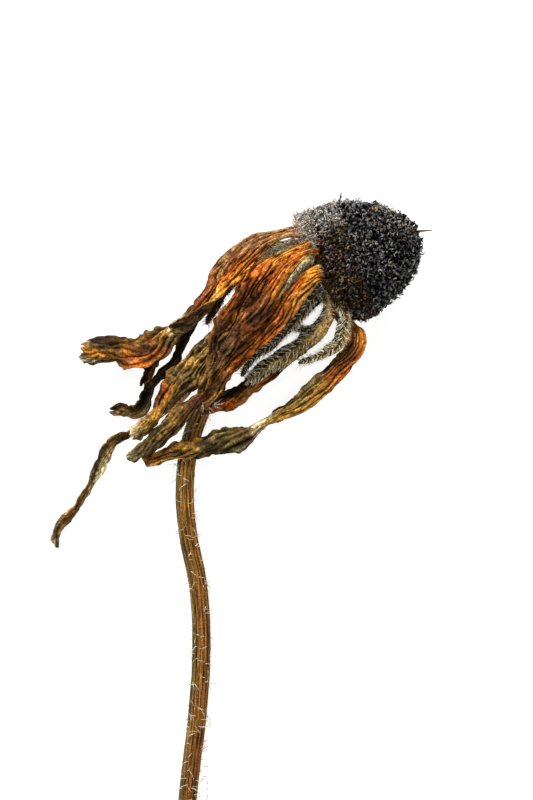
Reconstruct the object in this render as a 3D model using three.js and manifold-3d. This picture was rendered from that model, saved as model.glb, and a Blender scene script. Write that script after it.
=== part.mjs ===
// A dried coneflower head on its cut stem, lying on its side on a flat surface.
// Millimetres, +Z up. The surface is z = 0, and the stem runs towards -Y.

import * as THREE from "three";
import Module from "manifold-3d";

const wasm = await Module();
wasm.setup();

// Driving dimensions of the head
const CONE_RADIUS = 9.8;
const CONE_HEIGHT = 13.3;
const CONE_BULGE = 0.65;
const FLORET_PROUD = 1.3;
const FLORET_ROOT = 0.9;
const FLORET_WIDTH = 1.75;
const FLORET_TIP_SHARE = 0.75;
const FLORET_COUNT = 170;
const FLORET_START = 0.75;
const FLORET_SPREAD = 0.88;
const RIM_FLORETS = 32;
const LOOSE_FLORETS = 14;
const HEAD_TURN = THREE.MathUtils.degToRad(19);
const HEAD_LIFT = THREE.MathUtils.degToRad(8);
const HEAD_BASE = new THREE.Vector3(16.3, 41.9, 9.15);

// Driving dimensions of what grows below the cone
const RAY_RING_RADIUS = 7.3;
const RAY_RING_BACK = 2.4;
const BRACT_RING_RADIUS = 5.3;
const BRACT_RING_BACK = 3.9;
const BLADE_THICKNESS = 0.7;
const STEM_DIAMETER = 2.8;
const STEM_RIDGES = 10;
const STEM_RIDGE_HEIGHT = 0.13;
const SEAT_GAP = 0.4;

// Rays and bracts: where each is seated round the head in degrees, and the hand-set points
// of its midline as x, y, z, width and roll in degrees
const RAYS = [
  {
    name: "ray_top_outer",
    seat: 0,
    folds: 2,
    path: [
      [9.4, 47.2, 10.7, 1.4, 65],
      [6.5, 46.6, 12.0, 1.8, 50],
      [3.4, 45.3, 12.6, 2.7, 38],
      [0.4, 43.3, 12.2, 3.7, 22],
      [-2.1, 40.5, 11.4, 4.0, 15],
      [-4.4, 37.2, 10.2, 3.1, 25],
      [-7.2, 33.9, 8.6, 2.7, 45],
      [-10.6, 31.0, 7.4, 3.2, 25],
      [-14.4, 28.4, 6.4, 4.7, 8],
      [-19.0, 28.3, 5.6, 3.4, -10],
      [-22.4, 28.8, 5.0, 2.2, 15],
      [-24.6, 29.0, 4.8, 1.2, 35],
    ],
  },
  {
    name: "ray_top_inner",
    seat: 33,
    folds: 2,
    path: [
      [9.4, 46.0, 14.2, 1.3, 50],
      [6.6, 45.6, 15.1, 1.6, 30],
      [3.8, 44.0, 15.0, 2.2, 12],
      [1.3, 41.8, 14.4, 2.5, 5],
      [-1.1, 39.4, 13.6, 2.2, 20],
      [-3.0, 37.2, 12.8, 1.5, 55],
      [-4.4, 35.4, 12.4, 1.3, 110],
      [-6.5, 33.7, 11.2, 1.6, 150],
      [-8.6, 32.4, 10.2, 1.9, 170],
      [-10.6, 31.4, 9.5, 1.6, 185],
    ],
  },
  {
    name: "ray_front_left",
    seat: 50,
    folds: 2,
    path: [
      [10.6, 44.6, 16.4, 1.3, 25],
      [8.3, 43.5, 16.8, 1.7, 8],
      [5.8, 41.8, 16.8, 2.4, 0],
      [3.2, 39.6, 16.3, 3.1, -5],
      [0.85, 37.1, 15.4, 3.0, -8],
      [-0.95, 34.5, 14.3, 2.6, 0],
      [-2.8, 31.7, 13.0, 2.7, 20],
      [-4.0, 28.8, 11.8, 2.1, 50],
      [-4.8, 25.9, 10.9, 1.6, 80],
      [-5.6, 23.4, 10.4, 1.2, 110],
      [-6.4, 21.6, 10.0, 0.8, 140],
    ],
  },
  {
    name: "ray_front_middle",
    seat: 70,
    folds: 1,
    path: [
      [11.5, 43.2, 18.2, 1.2, 15],
      [9.3, 42.3, 18.6, 1.6, 8],
      [7.3, 40.4, 18.3, 2.1, 0],
      [5.4, 37.4, 17.9, 2.7, 0],
      [3.0, 34.2, 16.9, 3.0, 0],
      [0.6, 31.6, 15.6, 2.8, 8],
      [-1.5, 29.0, 14.5, 2.2, 35],
      [-3.2, 26.3, 13.2, 1.6, 75],
      [-4.4, 23.9, 12.6, 1.1, 110],
    ],
  },
  {
    name: "ray_front_right",
    seat: 95,
    folds: 2,
    path: [
      [11.9, 39.8, 17.9, 2.2, 0],
      [9.8, 38.0, 17.3, 2.8, 5],
      [7.9, 35.6, 16.5, 3.3, 5],
      [5.6, 32.8, 15.3, 3.4, 0],
      [2.8, 30.0, 13.8, 3.3, -5],
      [0.0, 27.5, 12.2, 3.1, -10],
      [-2.5, 24.6, 10.4, 2.9, 8],
      [-4.9, 21.4, 8.8, 2.6, 28],
      [-8.0, 18.5, 7.8, 2.3, 10],
      [-11.5, 15.7, 7.0, 2.1, -15],
      [-14.9, 13.2, 6.3, 1.7, 15],
      [-17.5, 11.8, 5.9, 1.1, 45],
    ],
  },
  {
    name: "ray_right_long",
    seat: 186,
    folds: 2,
    path: [
      [17.8, 32.3, 9.9, 1.5, -60],
      [18.7, 30.6, 10.8, 1.9, -40],
      [18.2, 28.4, 10.7, 2.3, -18],
      [16.5, 26.3, 10.2, 2.8, 0],
      [14.3, 24.2, 9.5, 3.1, 10],
      [12.0, 22.0, 8.7, 3.1, 18],
      [9.4, 20.0, 7.8, 2.5, 10],
      [6.6, 18.4, 7.0, 2.0, 35],
      [4.1, 17.1, 6.5, 1.9, 70],
      [1.3, 15.5, 6.3, 2.6, 30],
      [-2.1, 14.3, 6.1, 3.1, 0],
      [-5.5, 13.3, 5.4, 2.8, -15],
      [-9.1, 12.5, 4.7, 2.3, 0],
      [-12.5, 11.9, 4.2, 1.9, 25],
      [-15.1, 11.9, 3.9, 1.2, 50],
    ],
  },
  {
    name: "ray_lower_claw",
    seat: 162,
    folds: 2,
    path: [
      [14.9, 34.3, 10.5, 1.1, -30],
      [13.7, 32.5, 9.5, 1.5, -10],
      [12.0, 30.5, 8.7, 1.8, 0],
      [9.8, 28.7, 8.3, 2.0, 8],
      [7.3, 26.9, 7.9, 2.3, 12],
      [4.0, 24.2, 7.4, 2.6, 8],
      [0.6, 21.5, 6.8, 2.8, 0],
      [-3.2, 20.0, 6.2, 2.3, -10],
      [-6.3, 19.2, 5.8, 1.7, -30],
      [-9.1, 18.6, 5.4, 1.3, -60],
      [-11.4, 17.8, 5.1, 1.0, -85],
    ],
  },
  {
    name: "ray_olive",
    seat: 20,
    folds: 2,
    path: [
      [9.4, 44.5, 11.5, 1.4, 35],
      [6.4, 41.8, 10.8, 1.9, 20],
      [2.9, 37.8, 10.2, 2.2, 10],
      [-0.7, 33.7, 9.8, 2.3, 0],
      [-3.5, 30.2, 9.3, 2.4, 10],
      [-5.5, 27.3, 9.0, 3.0, 18],
      [-8.1, 24.5, 8.5, 3.9, 8],
      [-10.3, 21.6, 7.8, 2.8, -10],
      [-12.2, 18.9, 7.2, 2.2, -38],
      [-14.2, 16.6, 6.6, 2.0, -20],
      [-16.7, 14.8, 6.2, 1.4, 18],
    ],
  },
  {
    name: "ray_back_dark",
    seat: 332,
    folds: 1,
    path: [
      [8.4, 45.2, 6.4, 1.6, -120],
      [5.0, 43.8, 6.0, 1.9, -150],
      [1.4, 41.5, 6.1, 1.9, -170],
      [-1.9, 39.1, 6.3, 1.7, -180],
      [-4.9, 36.1, 6.2, 1.6, -190],
      [-7.2, 32.6, 5.6, 1.4, -180],
      [-8.7, 29.4, 4.9, 1.3, -165],
      [-9.6, 26.8, 4.2, 1.2, -180],
      [-11.3, 25.2, 3.6, 1.3, -200],
      [-13.2, 23.6, 3.0, 1.2, -215],
      [-14.6, 21.4, 2.0, 1.3, -205],
      [-15.9, 19.4, 1.2, 2.0, -190],
      [-18.2, 18.9, 0.7, 2.2, -172],
      [-20.2, 18.9, 0.4, 1.4, -160],
    ],
  },
  {
    name: "ray_back_short",
    seat: 308,
    folds: 1,
    path: [
      [8.0, 42.5, 3.7, 1.8, -150],
      [4.2, 41.6, 3.4, 2.0, -170],
      [-0.2, 40.2, 3.4, 1.9, -180],
      [-4.5, 36.8, 3.5, 1.7, -188],
      [-8.5, 31.9, 3.4, 1.6, -170],
      [-11.6, 28.6, 3.0, 1.6, -152],
      [-13.4, 26.6, 2.3, 1.4, -180],
      [-14.2, 24.6, 1.6, 1.2, -200],
      [-14.7, 22.6, 1.0, 0.9, -190],
    ],
  },
  {
    name: "ray_back_thread",
    seat: 283,
    folds: 1,
    path: [
      [8.9, 39.8, 2.3, 1.8, -180],
      [4.3, 36.0, 1.7, 1.9, -180],
      [-0.6, 30.9, 1.4, 1.8, -180],
      [-5.4, 25.3, 1.1, 1.7, -180],
      [-9.6, 20.8, 0.8, 1.6, -188],
      [-13.7, 17.7, 0.7, 1.6, -200],
      [-16.6, 16.0, 0.8, 1.4, -222],
      [-19.3, 14.0, 0.8, 1.5, -200],
      [-20.8, 11.5, 0.6, 1.8, -172],
      [-22.1, 9.1, 0.6, 1.8, -155],
      [-23.3, 7.0, 0.6, 1.1, -190],
      [-25.3, 4.3, 0.6, 1.3, -225],
      [-26.9, 2.0, 0.5, 1.5, -200],
      [-28.1, 0.0, 0.4, 1.0, -180],
      [-28.4, -2.5, 0.4, 0.8, -180],
    ],
  },
  {
    name: "ray_under_middle",
    seat: 256,
    folds: 1,
    path: [
      [10.8, 37.2, 2.2, 1.9, -180],
      [7.4, 34.4, 1.5, 2.3, -180],
      [3.8, 31.2, 1.2, 2.2, -180],
      [0.9, 28.6, 1.0, 1.7, -188],
      [-1.0, 26.4, 0.8, 1.1, -200],
    ],
  },
  {
    name: "ray_under_right",
    seat: 231,
    folds: 1,
    path: [
      [13.9, 34.3, 3.5, 1.6, -205],
      [11.6, 31.2, 2.6, 1.9, -195],
      [8.9, 28.8, 1.9, 2.0, -180],
      [6.1, 26.6, 1.3, 1.9, -180],
      [3.6, 24.8, 0.9, 1.4, -172],
      [1.8, 23.6, 0.6, 1.0, -180],
    ],
  },
  {
    name: "ray_under_long",
    seat: 206,
    folds: 2,
    path: [
      [17.4, 32.3, 5.4, 1.6, -235],
      [17.6, 29.3, 4.1, 1.9, -218],
      [15.9, 26.1, 3.0, 2.2, -198],
      [13.0, 23.1, 1.9, 2.2, -182],
      [10.1, 20.8, 1.1, 1.9, -180],
      [7.4, 18.9, 0.6, 1.4, -188],
      [4.9, 17.5, 0.4, 1.0, -180],
    ],
  },
];

const BRACTS = [
  {
    name: "bract_top",
    seat: 50,
    path: [
      [8.6, 44.2, 13.3, 1.4, 28],
      [6.6, 43.5, 13.4, 1.7, 18],
      [4.6, 42.1, 13.2, 1.5, 8],
      [2.4, 40.2, 12.8, 1.2, 0],
      [0.9, 38.9, 12.4, 1.0, 0],
      [-0.3, 37.8, 12.1, 0.7, 0],
    ],
  },
  {
    name: "bract_front_cream",
    seat: 67,
    path: [
      [10.9, 42.4, 15.6, 1.4, 8],
      [9.2, 41.4, 15.7, 1.6, 4],
      [8.0, 39.5, 15.4, 1.4, 0],
      [7.2, 37.5, 14.8, 1.1, 0],
      [6.2, 35.5, 14.1, 0.8, 0],
    ],
  },
  {
    name: "bract_front_olive",
    seat: 102,
    path: [
      [12.0, 37.0, 15.1, 1.4, -8],
      [10.8, 35.6, 14.7, 1.9, -8],
      [9.7, 33.7, 13.9, 1.8, 0],
      [8.3, 31.9, 13.1, 1.6, 5],
      [6.6, 30.4, 12.1, 1.7, 10],
      [4.7, 28.8, 11.0, 1.3, 8],
      [2.9, 27.6, 10.5, 1.1, 0],
      [1.3, 25.9, 10.1, 0.9, 0],
      [0.4, 24.3, 9.8, 0.7, 15],
    ],
  },
  {
    name: "bract_ribbon",
    seat: 120,
    path: [
      [13.7, 35.4, 14.0, 1.1, -10],
      [13.3, 33.3, 12.6, 2.0, -8],
      [11.8, 31.1, 11.6, 2.8, 0],
      [9.5, 29.1, 10.7, 2.8, 5],
      [7.1, 27.4, 9.9, 2.8, 5],
      [4.6, 25.8, 9.2, 2.4, 0],
      [2.4, 24.4, 8.7, 1.8, -8],
      [1.0, 23.8, 8.4, 1.0, -18],
    ],
  },
  {
    name: "bract_hooked",
    seat: 82,
    path: [
      [10.2, 38.6, 13.2, 1.1, 0],
      [9.0, 36.0, 12.0, 1.3, 0],
      [7.9, 34.0, 11.2, 1.2, 0],
      [8.4, 32.4, 10.6, 1.1, 0],
      [10.0, 31.5, 10.0, 1.0, 0],
      [11.6, 30.9, 9.7, 0.7, 0],
    ],
  },
  {
    name: "bract_right",
    seat: 140,
    path: [
      [16.3, 34.0, 13.3, 1.1, -25],
      [16.1, 31.8, 12.3, 1.9, -18],
      [15.8, 29.9, 11.9, 1.9, -8],
      [14.6, 28.6, 11.4, 1.5, 0],
      [12.8, 27.6, 10.8, 1.1, 8],
      [10.9, 26.8, 10.2, 0.9, 15],
      [9.3, 26.2, 9.8, 0.7, 20],
    ],
  },
  {
    name: "bract_lower_right",
    seat: 180,
    path: [
      [15.2, 33.4, 8.5, 1.1, -90],
      [15.9, 31.2, 8.0, 1.3, -60],
      [15.7, 29.9, 7.7, 1.0, -40],
      [15.0, 29.0, 7.5, 0.7, -30],
    ],
  },
  {
    name: "bract_under_right",
    seat: 208,
    path: [
      [13.9, 33.6, 6.3, 1.4, -150],
      [12.2, 31.2, 5.6, 1.5, -160],
      [9.9, 29.2, 5.2, 1.4, -170],
      [7.6, 27.5, 4.9, 1.0, -180],
      [5.7, 26.2, 4.7, 0.7, -180],
    ],
  },
  {
    name: "bract_under_middle",
    seat: 240,
    path: [
      [11.6, 35.6, 4.4, 1.4, -170],
      [9.2, 33.4, 4.1, 1.6, -180],
      [6.8, 31.6, 3.8, 1.4, -180],
      [4.6, 30.2, 3.5, 1.0, -180],
      [2.9, 29.4, 3.3, 0.7, -180],
    ],
  },
  {
    name: "bract_under_left",
    seat: 275,
    path: [
      [10.0, 39.0, 4.6, 1.4, -180],
      [7.2, 37.0, 4.7, 1.6, -180],
      [4.4, 35.1, 4.7, 1.3, -180],
      [1.8, 33.5, 4.6, 0.9, -180],
      [0.2, 32.2, 4.5, 0.7, -180],
    ],
  },
  {
    name: "bract_back_left",
    seat: 315,
    path: [
      [9.0, 42.4, 7.0, 1.4, -130],
      [6.0, 41.2, 7.5, 1.5, -140],
      [3.0, 40.2, 7.8, 1.3, -150],
      [0.0, 39.0, 8.0, 1.2, -160],
      [-2.5, 37.0, 8.2, 1.1, -165],
      [-3.8, 34.6, 8.3, 1.0, -170],
      [-4.9, 32.2, 8.3, 0.7, -170],
    ],
  },
  {
    name: "bract_back_top",
    seat: 354,
    path: [
      [8.6, 44.8, 9.6, 1.3, 80],
      [5.8, 44.0, 9.6, 1.3, 60],
      [3.5, 42.7, 9.5, 1.0, 48],
      [1.9, 41.5, 9.4, 0.7, 38],
    ],
  },
];

// The stem's midline, from the receptacle to the cut end
const STEM_PATH = [
  [9.2, 39.4, 8.7],
  [5.7, 36.6, 8.0],
  [1.9, 32.4, 6.7],
  [-1.2, 27.7, 5.3],
  [-4.2, 22.3, 3.6],
  [-6.8, 16.5, 2.2],
  [-8.1, 11.0, 1.5],
  [-8.4, 5.0, 1.25],
  [-7.8, -1.0, 1.25],
  [-6.4, -8.0, 1.25],
  [-5.8, -17.0, 1.25],
  [-6.4, -28.0, 1.25],
  [-7.8, -40.0, 1.25],
  [-8.6, -52.0, 1.25],
];

// The receptacle's outline: radius, and distance in front of the cone's base plane
const RECEPTACLE_PROFILE = [
  [1.3, -9.4],
  [1.7, -7.6],
  [2.6, -6.2],
  [4.0, -5.0],
  [5.6, -3.7],
  [7.0, -2.5],
  [7.7, -1.4],
  [7.6, -0.45],
];

// How finely each surface is divided
const STATIONS_PER_SPAN = 2;
const RAY_COLUMNS = 4;
const BRACT_COLUMNS = 2;
const STEM_STEPS = 28;
const RECEPTACLE_SIDES = 28;
const CORE_STEPS = 9;
const CORE_SIDES = 24;

// Relief of the blades: ridges and cupping as shares of the width, and a wave of the edges
const RIDGE_SHARE = 0.05;
const CUP_SHARE = 0.1;
const EDGE_WAVE = 0.22;
const EDGE_WAVE_LENGTH = 8;
const BLADE_SUNK = 0.6;

// How far the shortest dome floret stands out, how much further the longest does, and where
// the two kinds at the rim start and end
const FLORET_LEAST_PROUD = 0.81;
const FLORET_LENGTH_SPREAD = 0.7;
const FLORET_SEED = 7;
const RIM_FLORET = { rootIn: 0.6, rootUp: 0.9, tipIn: 0.5, tipBack: 0.7, tipSpread: 0.7 };
const LOOSE_FLORET = { rootUp: 0.8, tipIn: 0.1, outSpread: 0.5, tipBack: 1.8, backSpread: 2.2, width: 1.4 };
const LOOSE_FROM = -30;
const LOOSE_SPAN = 80;

const GROUND_SIDE = 300;
const GROUND_DEPTH = 20;

const NEARLY_UPRIGHT = 0.8;
const UP = new THREE.Vector3(0, 0, 1);
const headAxis = new THREE.Vector3(
  Math.cos(HEAD_TURN) * Math.cos(HEAD_LIFT),
  Math.sin(HEAD_TURN) * Math.cos(HEAD_LIFT),
  Math.sin(HEAD_LIFT),
);
const headSide = new THREE.Vector3(-Math.sin(HEAD_TURN), Math.cos(HEAD_TURN), 0);
const headUp = new THREE.Vector3().crossVectors(headAxis, headSide);

// A repeatable random number from 0 to 1
function seededRandom(seed) {
  const modulus = 2 ** 32;
  let state = seed;
  return () => {
    state = (state * 1664525 + 1013904223) % modulus;
    return state / modulus;
  };
}

function smoothCurve(points) {
  return new THREE.CatmullRomCurve3(points, false, "catmullrom", 0.5);
}

// A point's place on a ring: out from the centre along one direction, turned towards another
function ringPoint(centre, side, face, radius, angle) {
  return centre.clone()
    .addScaledVector(side, radius * Math.cos(angle))
    .addScaledVector(face, radius * Math.sin(angle));
}

// A direction square to the head's axis, turned by an angle in radians
function outward(angle) {
  return ringPoint(new THREE.Vector3(), headSide, headUp, 1, angle);
}

// A point of the head: along its axis from the cone's base plane, and out from the axis
function headPoint(angle, radius, along) {
  return HEAD_BASE.clone().addScaledVector(headAxis, along).addScaledVector(outward(angle), radius);
}

// Points and faces as a solid, with corners at the same place joined
function toSolid(positions, triangles) {
  const mesh = new wasm.Mesh({
    numProp: 3,
    vertProperties: new Float32Array(positions),
    triVerts: new Uint32Array(triangles),
  });
  mesh.merge();
  return new wasm.Manifold(mesh);
}

function solidFromGeometry(geometry) {
  return toSolid(geometry.getAttribute("position").array, geometry.getIndex().array);
}

function geometryFromSolid(solid) {
  const mesh = solid.getMesh();
  const geometry = new THREE.BufferGeometry();
  geometry.setAttribute("position", new THREE.BufferAttribute(mesh.vertProperties, 3));
  geometry.setIndex(new THREE.BufferAttribute(mesh.triVerts, 1));
  return geometry;
}

// The largest body of a solid that a cut may have left in several
function largestBody(solid) {
  return solid.decompose().reduce((best, body) => (body.volume() > best.volume() ? body : best));
}

// Everything below the surface is cut away, which leaves the small flats that the part rests on
function groundSolid() {
  const block = new THREE.BoxGeometry(GROUND_SIDE, GROUND_SIDE, GROUND_DEPTH);
  return solidFromGeometry(block.translate(0, 0, -GROUND_DEPTH / 2));
}

// Rings of points joined into one closed skin, with a fan of faces over each end
function tubeSolid(rings) {
  const sides = rings[0].length;
  const positions = rings.flat().flatMap((point) => point.toArray());
  const triangles = [];
  const next = (k) => (k + 1) % sides;
  for (let i = 0; i < rings.length - 1; i += 1) {
    const near = i * sides;
    const far = near + sides;
    for (let k = 0; k < sides; k += 1) {
      triangles.push(near + k, far + next(k), near + next(k));
      triangles.push(near + k, far + k, far + next(k));
    }
  }
  const first = 0;
  const last = (rings.length - 1) * sides;
  for (const start of [first, last]) {
    const hub = positions.length / 3;
    const centre = new THREE.Vector3();
    for (const point of rings[start / sides]) centre.addScaledVector(point, 1 / sides);
    positions.push(...centre.toArray());
    for (let k = 0; k < sides; k += 1) {
      if (start === first) triangles.push(hub, start + k, start + next(k));
      else triangles.push(hub, start + next(k), start + k);
    }
  }
  return toSolid(positions, triangles);
}

// The stations of a blade: place, directions, width and roll along its smooth midline
function bladeStations(start, path) {
  const points = [start, ...path.map(([x, y, z]) => new THREE.Vector3(x, y, z))];
  const shapes = path.map(([, , , width, roll]) => new THREE.Vector3(width, roll, 0));
  shapes.unshift(shapes[0].clone());
  const midline = smoothCurve(points);
  const profile = smoothCurve(shapes);
  const count = (points.length - 1) * STATIONS_PER_SPAN;
  const stations = [];
  for (let i = 0; i <= count; i += 1) {
    const along = midline.getTangent(i / count);
    const shape = profile.getPoint(i / count);
    const side = new THREE.Vector3().crossVectors(along, UP).normalize();
    side.applyAxisAngle(along, THREE.MathUtils.degToRad(shape.y));
    const face = new THREE.Vector3().crossVectors(side, along);
    stations.push({ place: midline.getPoint(i / count), side, face, width: shape.x });
  }
  return stations;
}

// The points of a blade: at each station one row on its face and one under it, alike in relief,
// so that it is equally thick all over
function bladePoints(stations, columns, folds) {
  const positions = [];
  let travelled = 0;
  stations.forEach(({ place, side, face, width }, i) => {
    if (i > 0) travelled += place.distanceTo(stations[i - 1].place);
    for (const half of [0.5, -0.5]) {
      for (let j = 0; j <= columns; j += 1) {
        const across = (2 * j) / columns - 1;
        const ridge = RIDGE_SHARE * width * Math.cos(Math.PI * folds * across);
        const cup = CUP_SHARE * width * across * across;
        const wave = EDGE_WAVE * across * Math.sin((2 * Math.PI * travelled) / EDGE_WAVE_LENGTH);
        const lift = ridge - cup + wave + half * BLADE_THICKNESS;
        const point = place.clone().addScaledVector(side, (across * width) / 2).addScaledVector(face, lift);
        positions.push(...point.toArray());
      }
    }
  });
  return positions;
}

// A blade is split into the same triangles on both faces, and closed along its edges and ends
function bladeSolid(stations, columns, folds) {
  const triangles = [];
  const last = stations.length - 1;
  const id = (i, under, j) => (i * 2 + under) * (columns + 1) + j;
  for (let i = 0; i < last; i += 1) {
    for (let j = 0; j < columns; j += 1) {
      triangles.push(id(i, 0, j), id(i + 1, 0, j + 1), id(i + 1, 0, j));
      triangles.push(id(i, 0, j), id(i, 0, j + 1), id(i + 1, 0, j + 1));
      triangles.push(id(i, 1, j), id(i + 1, 1, j), id(i + 1, 1, j + 1));
      triangles.push(id(i, 1, j), id(i + 1, 1, j + 1), id(i, 1, j + 1));
    }
    triangles.push(id(i, 0, 0), id(i + 1, 0, 0), id(i + 1, 1, 0));
    triangles.push(id(i, 0, 0), id(i + 1, 1, 0), id(i, 1, 0));
    triangles.push(id(i, 0, columns), id(i + 1, 1, columns), id(i + 1, 0, columns));
    triangles.push(id(i, 0, columns), id(i, 1, columns), id(i + 1, 1, columns));
  }
  for (let j = 0; j < columns; j += 1) {
    triangles.push(id(0, 0, j), id(0, 1, j + 1), id(0, 0, j + 1));
    triangles.push(id(0, 0, j), id(0, 1, j), id(0, 1, j + 1));
    triangles.push(id(last, 0, j), id(last, 0, j + 1), id(last, 1, j + 1));
    triangles.push(id(last, 0, j), id(last, 1, j + 1), id(last, 1, j));
  }
  return toSolid(bladePoints(stations, columns, folds), triangles);
}

// A shape turned about the Y axis is laid along the head's axis
function turnedOntoHead(outline, sides) {
  const third = new THREE.Vector3().crossVectors(headSide, headAxis);
  const turn = new THREE.Matrix4().makeBasis(headSide, headAxis, third).setPosition(HEAD_BASE);
  return solidFromGeometry(new THREE.LatheGeometry(outline, sides).applyMatrix4(turn));
}

// The receptacle as a turned body about the head's axis, thicker all round by an allowance
function receptacleSolid(allowance) {
  const outline = RECEPTACLE_PROFILE.map(([radius, along]) => new THREE.Vector2(radius + allowance, along));
  const back = outline[0].y - allowance;
  const front = outline[outline.length - 1].y + allowance;
  outline.unshift(new THREE.Vector2(0, back));
  outline.push(new THREE.Vector2(0, front));
  return turnedOntoHead(outline, RECEPTACLE_SIDES);
}

// The ribbed stem, one body with the receptacle that it swells into
function stemSolid() {
  const midline = smoothCurve(STEM_PATH.map(([x, y, z]) => new THREE.Vector3(x, y, z)));
  const rings = [];
  for (let i = 0; i <= STEM_STEPS; i += 1) {
    const centre = midline.getPointAt(i / STEM_STEPS);
    const along = midline.getTangentAt(i / STEM_STEPS);
    const side = new THREE.Vector3().crossVectors(along, UP).normalize();
    const face = new THREE.Vector3().crossVectors(side, along);
    const ring = [];
    for (let k = 0; k < 2 * STEM_RIDGES; k += 1) {
      const radius = STEM_DIAMETER / 2 - (k % 2) * STEM_RIDGE_HEIGHT;
      ring.push(ringPoint(centre, side, face, radius, (Math.PI * k) / STEM_RIDGES));
    }
    rings.push(ring);
  }
  return tubeSolid(rings).add(receptacleSolid(0));
}

// The radius of the cone's core at a height above its base plane
function coreRadius(along) {
  const share = THREE.MathUtils.clamp(along / (CONE_HEIGHT - FLORET_PROUD), 0, 1);
  return (CONE_RADIUS - FLORET_PROUD) * (1 - share * share) ** CONE_BULGE;
}

function coreSolid() {
  const outline = [new THREE.Vector2(0, 0)];
  const height = CONE_HEIGHT - FLORET_PROUD;
  for (let i = 0; i < CORE_STEPS; i += 1) {
    const along = height * Math.sin((Math.PI / 2) * (i / CORE_STEPS));
    outline.push(new THREE.Vector2(coreRadius(along), along));
  }
  outline.push(new THREE.Vector2(0, height));
  return turnedOntoHead(outline, CORE_SIDES);
}

// A blunt three-sided floret from a root in the core to its tip
function floretSolid(root, tip, width, spin) {
  const along = tip.clone().sub(root).normalize();
  const steep = Math.abs(along.z) > NEARLY_UPRIGHT;
  const reference = steep ? new THREE.Vector3(1, 0, 0) : UP;
  const side = new THREE.Vector3().crossVectors(along, reference).normalize();
  const face = new THREE.Vector3().crossVectors(along, side);
  const positions = [];
  for (const [centre, radius] of [[root, width / 2], [tip, (FLORET_TIP_SHARE * width) / 2]]) {
    for (let k = 0; k < 3; k += 1) {
      positions.push(...ringPoint(centre, side, face, radius, spin + (2 * Math.PI * k) / 3).toArray());
    }
  }
  const triangles = [0, 2, 1, 3, 4, 5];
  for (let k = 0; k < 3; k += 1) {
    const next = (k + 1) % 3;
    triangles.push(k, next, next + 3, k, next + 3, k + 3);
  }
  return toSolid(positions, triangles);
}

// The florets of the dome, in a golden-angle spiral, each square to the core's surface
function domeFlorets(random) {
  const goldenAngle = Math.PI * (3 - Math.sqrt(5));
  const reach = CONE_HEIGHT - FLORET_PROUD - FLORET_START;
  const step = 0.2;
  const florets = [];
  for (let i = 0; i < FLORET_COUNT; i += 1) {
    const share = (i + 0.5) / FLORET_COUNT;
    const along = FLORET_START + reach * (1 - share ** FLORET_SPREAD);
    const angle = i * goldenAngle;
    const slope = Math.atan2(coreRadius(along - step) - coreRadius(along + step), 2 * step);
    const surface = headPoint(angle, coreRadius(along), along);
    const lean = outward(angle).multiplyScalar(Math.cos(slope)).addScaledVector(headAxis, Math.sin(slope));
    const proud = FLORET_LEAST_PROUD + random() * FLORET_LENGTH_SPREAD;
    const root = surface.clone().addScaledVector(lean, -FLORET_ROOT);
    const tip = surface.clone().addScaledVector(lean, proud);
    florets.push(floretSolid(root, tip, FLORET_WIDTH, random() * Math.PI));
  }
  return florets;
}

// A row of florets round the rim, leaning back over the petals
function rimFlorets(random) {
  const { rootIn, rootUp, tipIn, tipBack, tipSpread } = RIM_FLORET;
  const florets = [];
  for (let i = 0; i < RIM_FLORETS; i += 1) {
    const angle = (2 * Math.PI * (i + random() * 0.5)) / RIM_FLORETS;
    const root = headPoint(angle, CONE_RADIUS - FLORET_PROUD - rootIn, rootUp);
    const tip = headPoint(angle, CONE_RADIUS - tipIn, -tipBack - random() * tipSpread);
    florets.push(floretSolid(root, tip, FLORET_WIDTH, random() * Math.PI));
  }
  return florets;
}

// Longer loose florets that hang off the rim's upper side
function looseFlorets(random) {
  const { rootUp, tipIn, outSpread, tipBack, backSpread, width } = LOOSE_FLORET;
  const florets = [];
  for (let i = 0; i < LOOSE_FLORETS; i += 1) {
    const angle = THREE.MathUtils.degToRad(LOOSE_FROM + (LOOSE_SPAN * i) / LOOSE_FLORETS);
    const root = headPoint(angle, CONE_RADIUS - FLORET_PROUD, rootUp);
    const out = CONE_RADIUS - tipIn + random() * outSpread;
    const tip = headPoint(angle, out, -tipBack - random() * backSpread);
    florets.push(floretSolid(root, tip, width, random() * Math.PI));
  }
  return florets;
}

function coneSolid() {
  const random = seededRandom(FLORET_SEED);
  const florets = [...domeFlorets(random), ...rimFlorets(random), ...looseFlorets(random)];
  return florets.reduce((cone, floret) => cone.add(floret), coreSolid());
}

// Colours are linear red, green and blue
const FINISHES = {
  florets: { color: new THREE.Color(0.018, 0.016, 0.015), roughness: 0.9, metalness: 0 },
  petals: { color: new THREE.Color(0.34, 0.12, 0.025), roughness: 0.7, metalness: 0 },
  bracts: { color: new THREE.Color(0.19, 0.17, 0.08), roughness: 0.85, metalness: 0 },
  stem: { color: new THREE.Color(0.33, 0.19, 0.08), roughness: 0.8, metalness: 0 },
};

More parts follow.
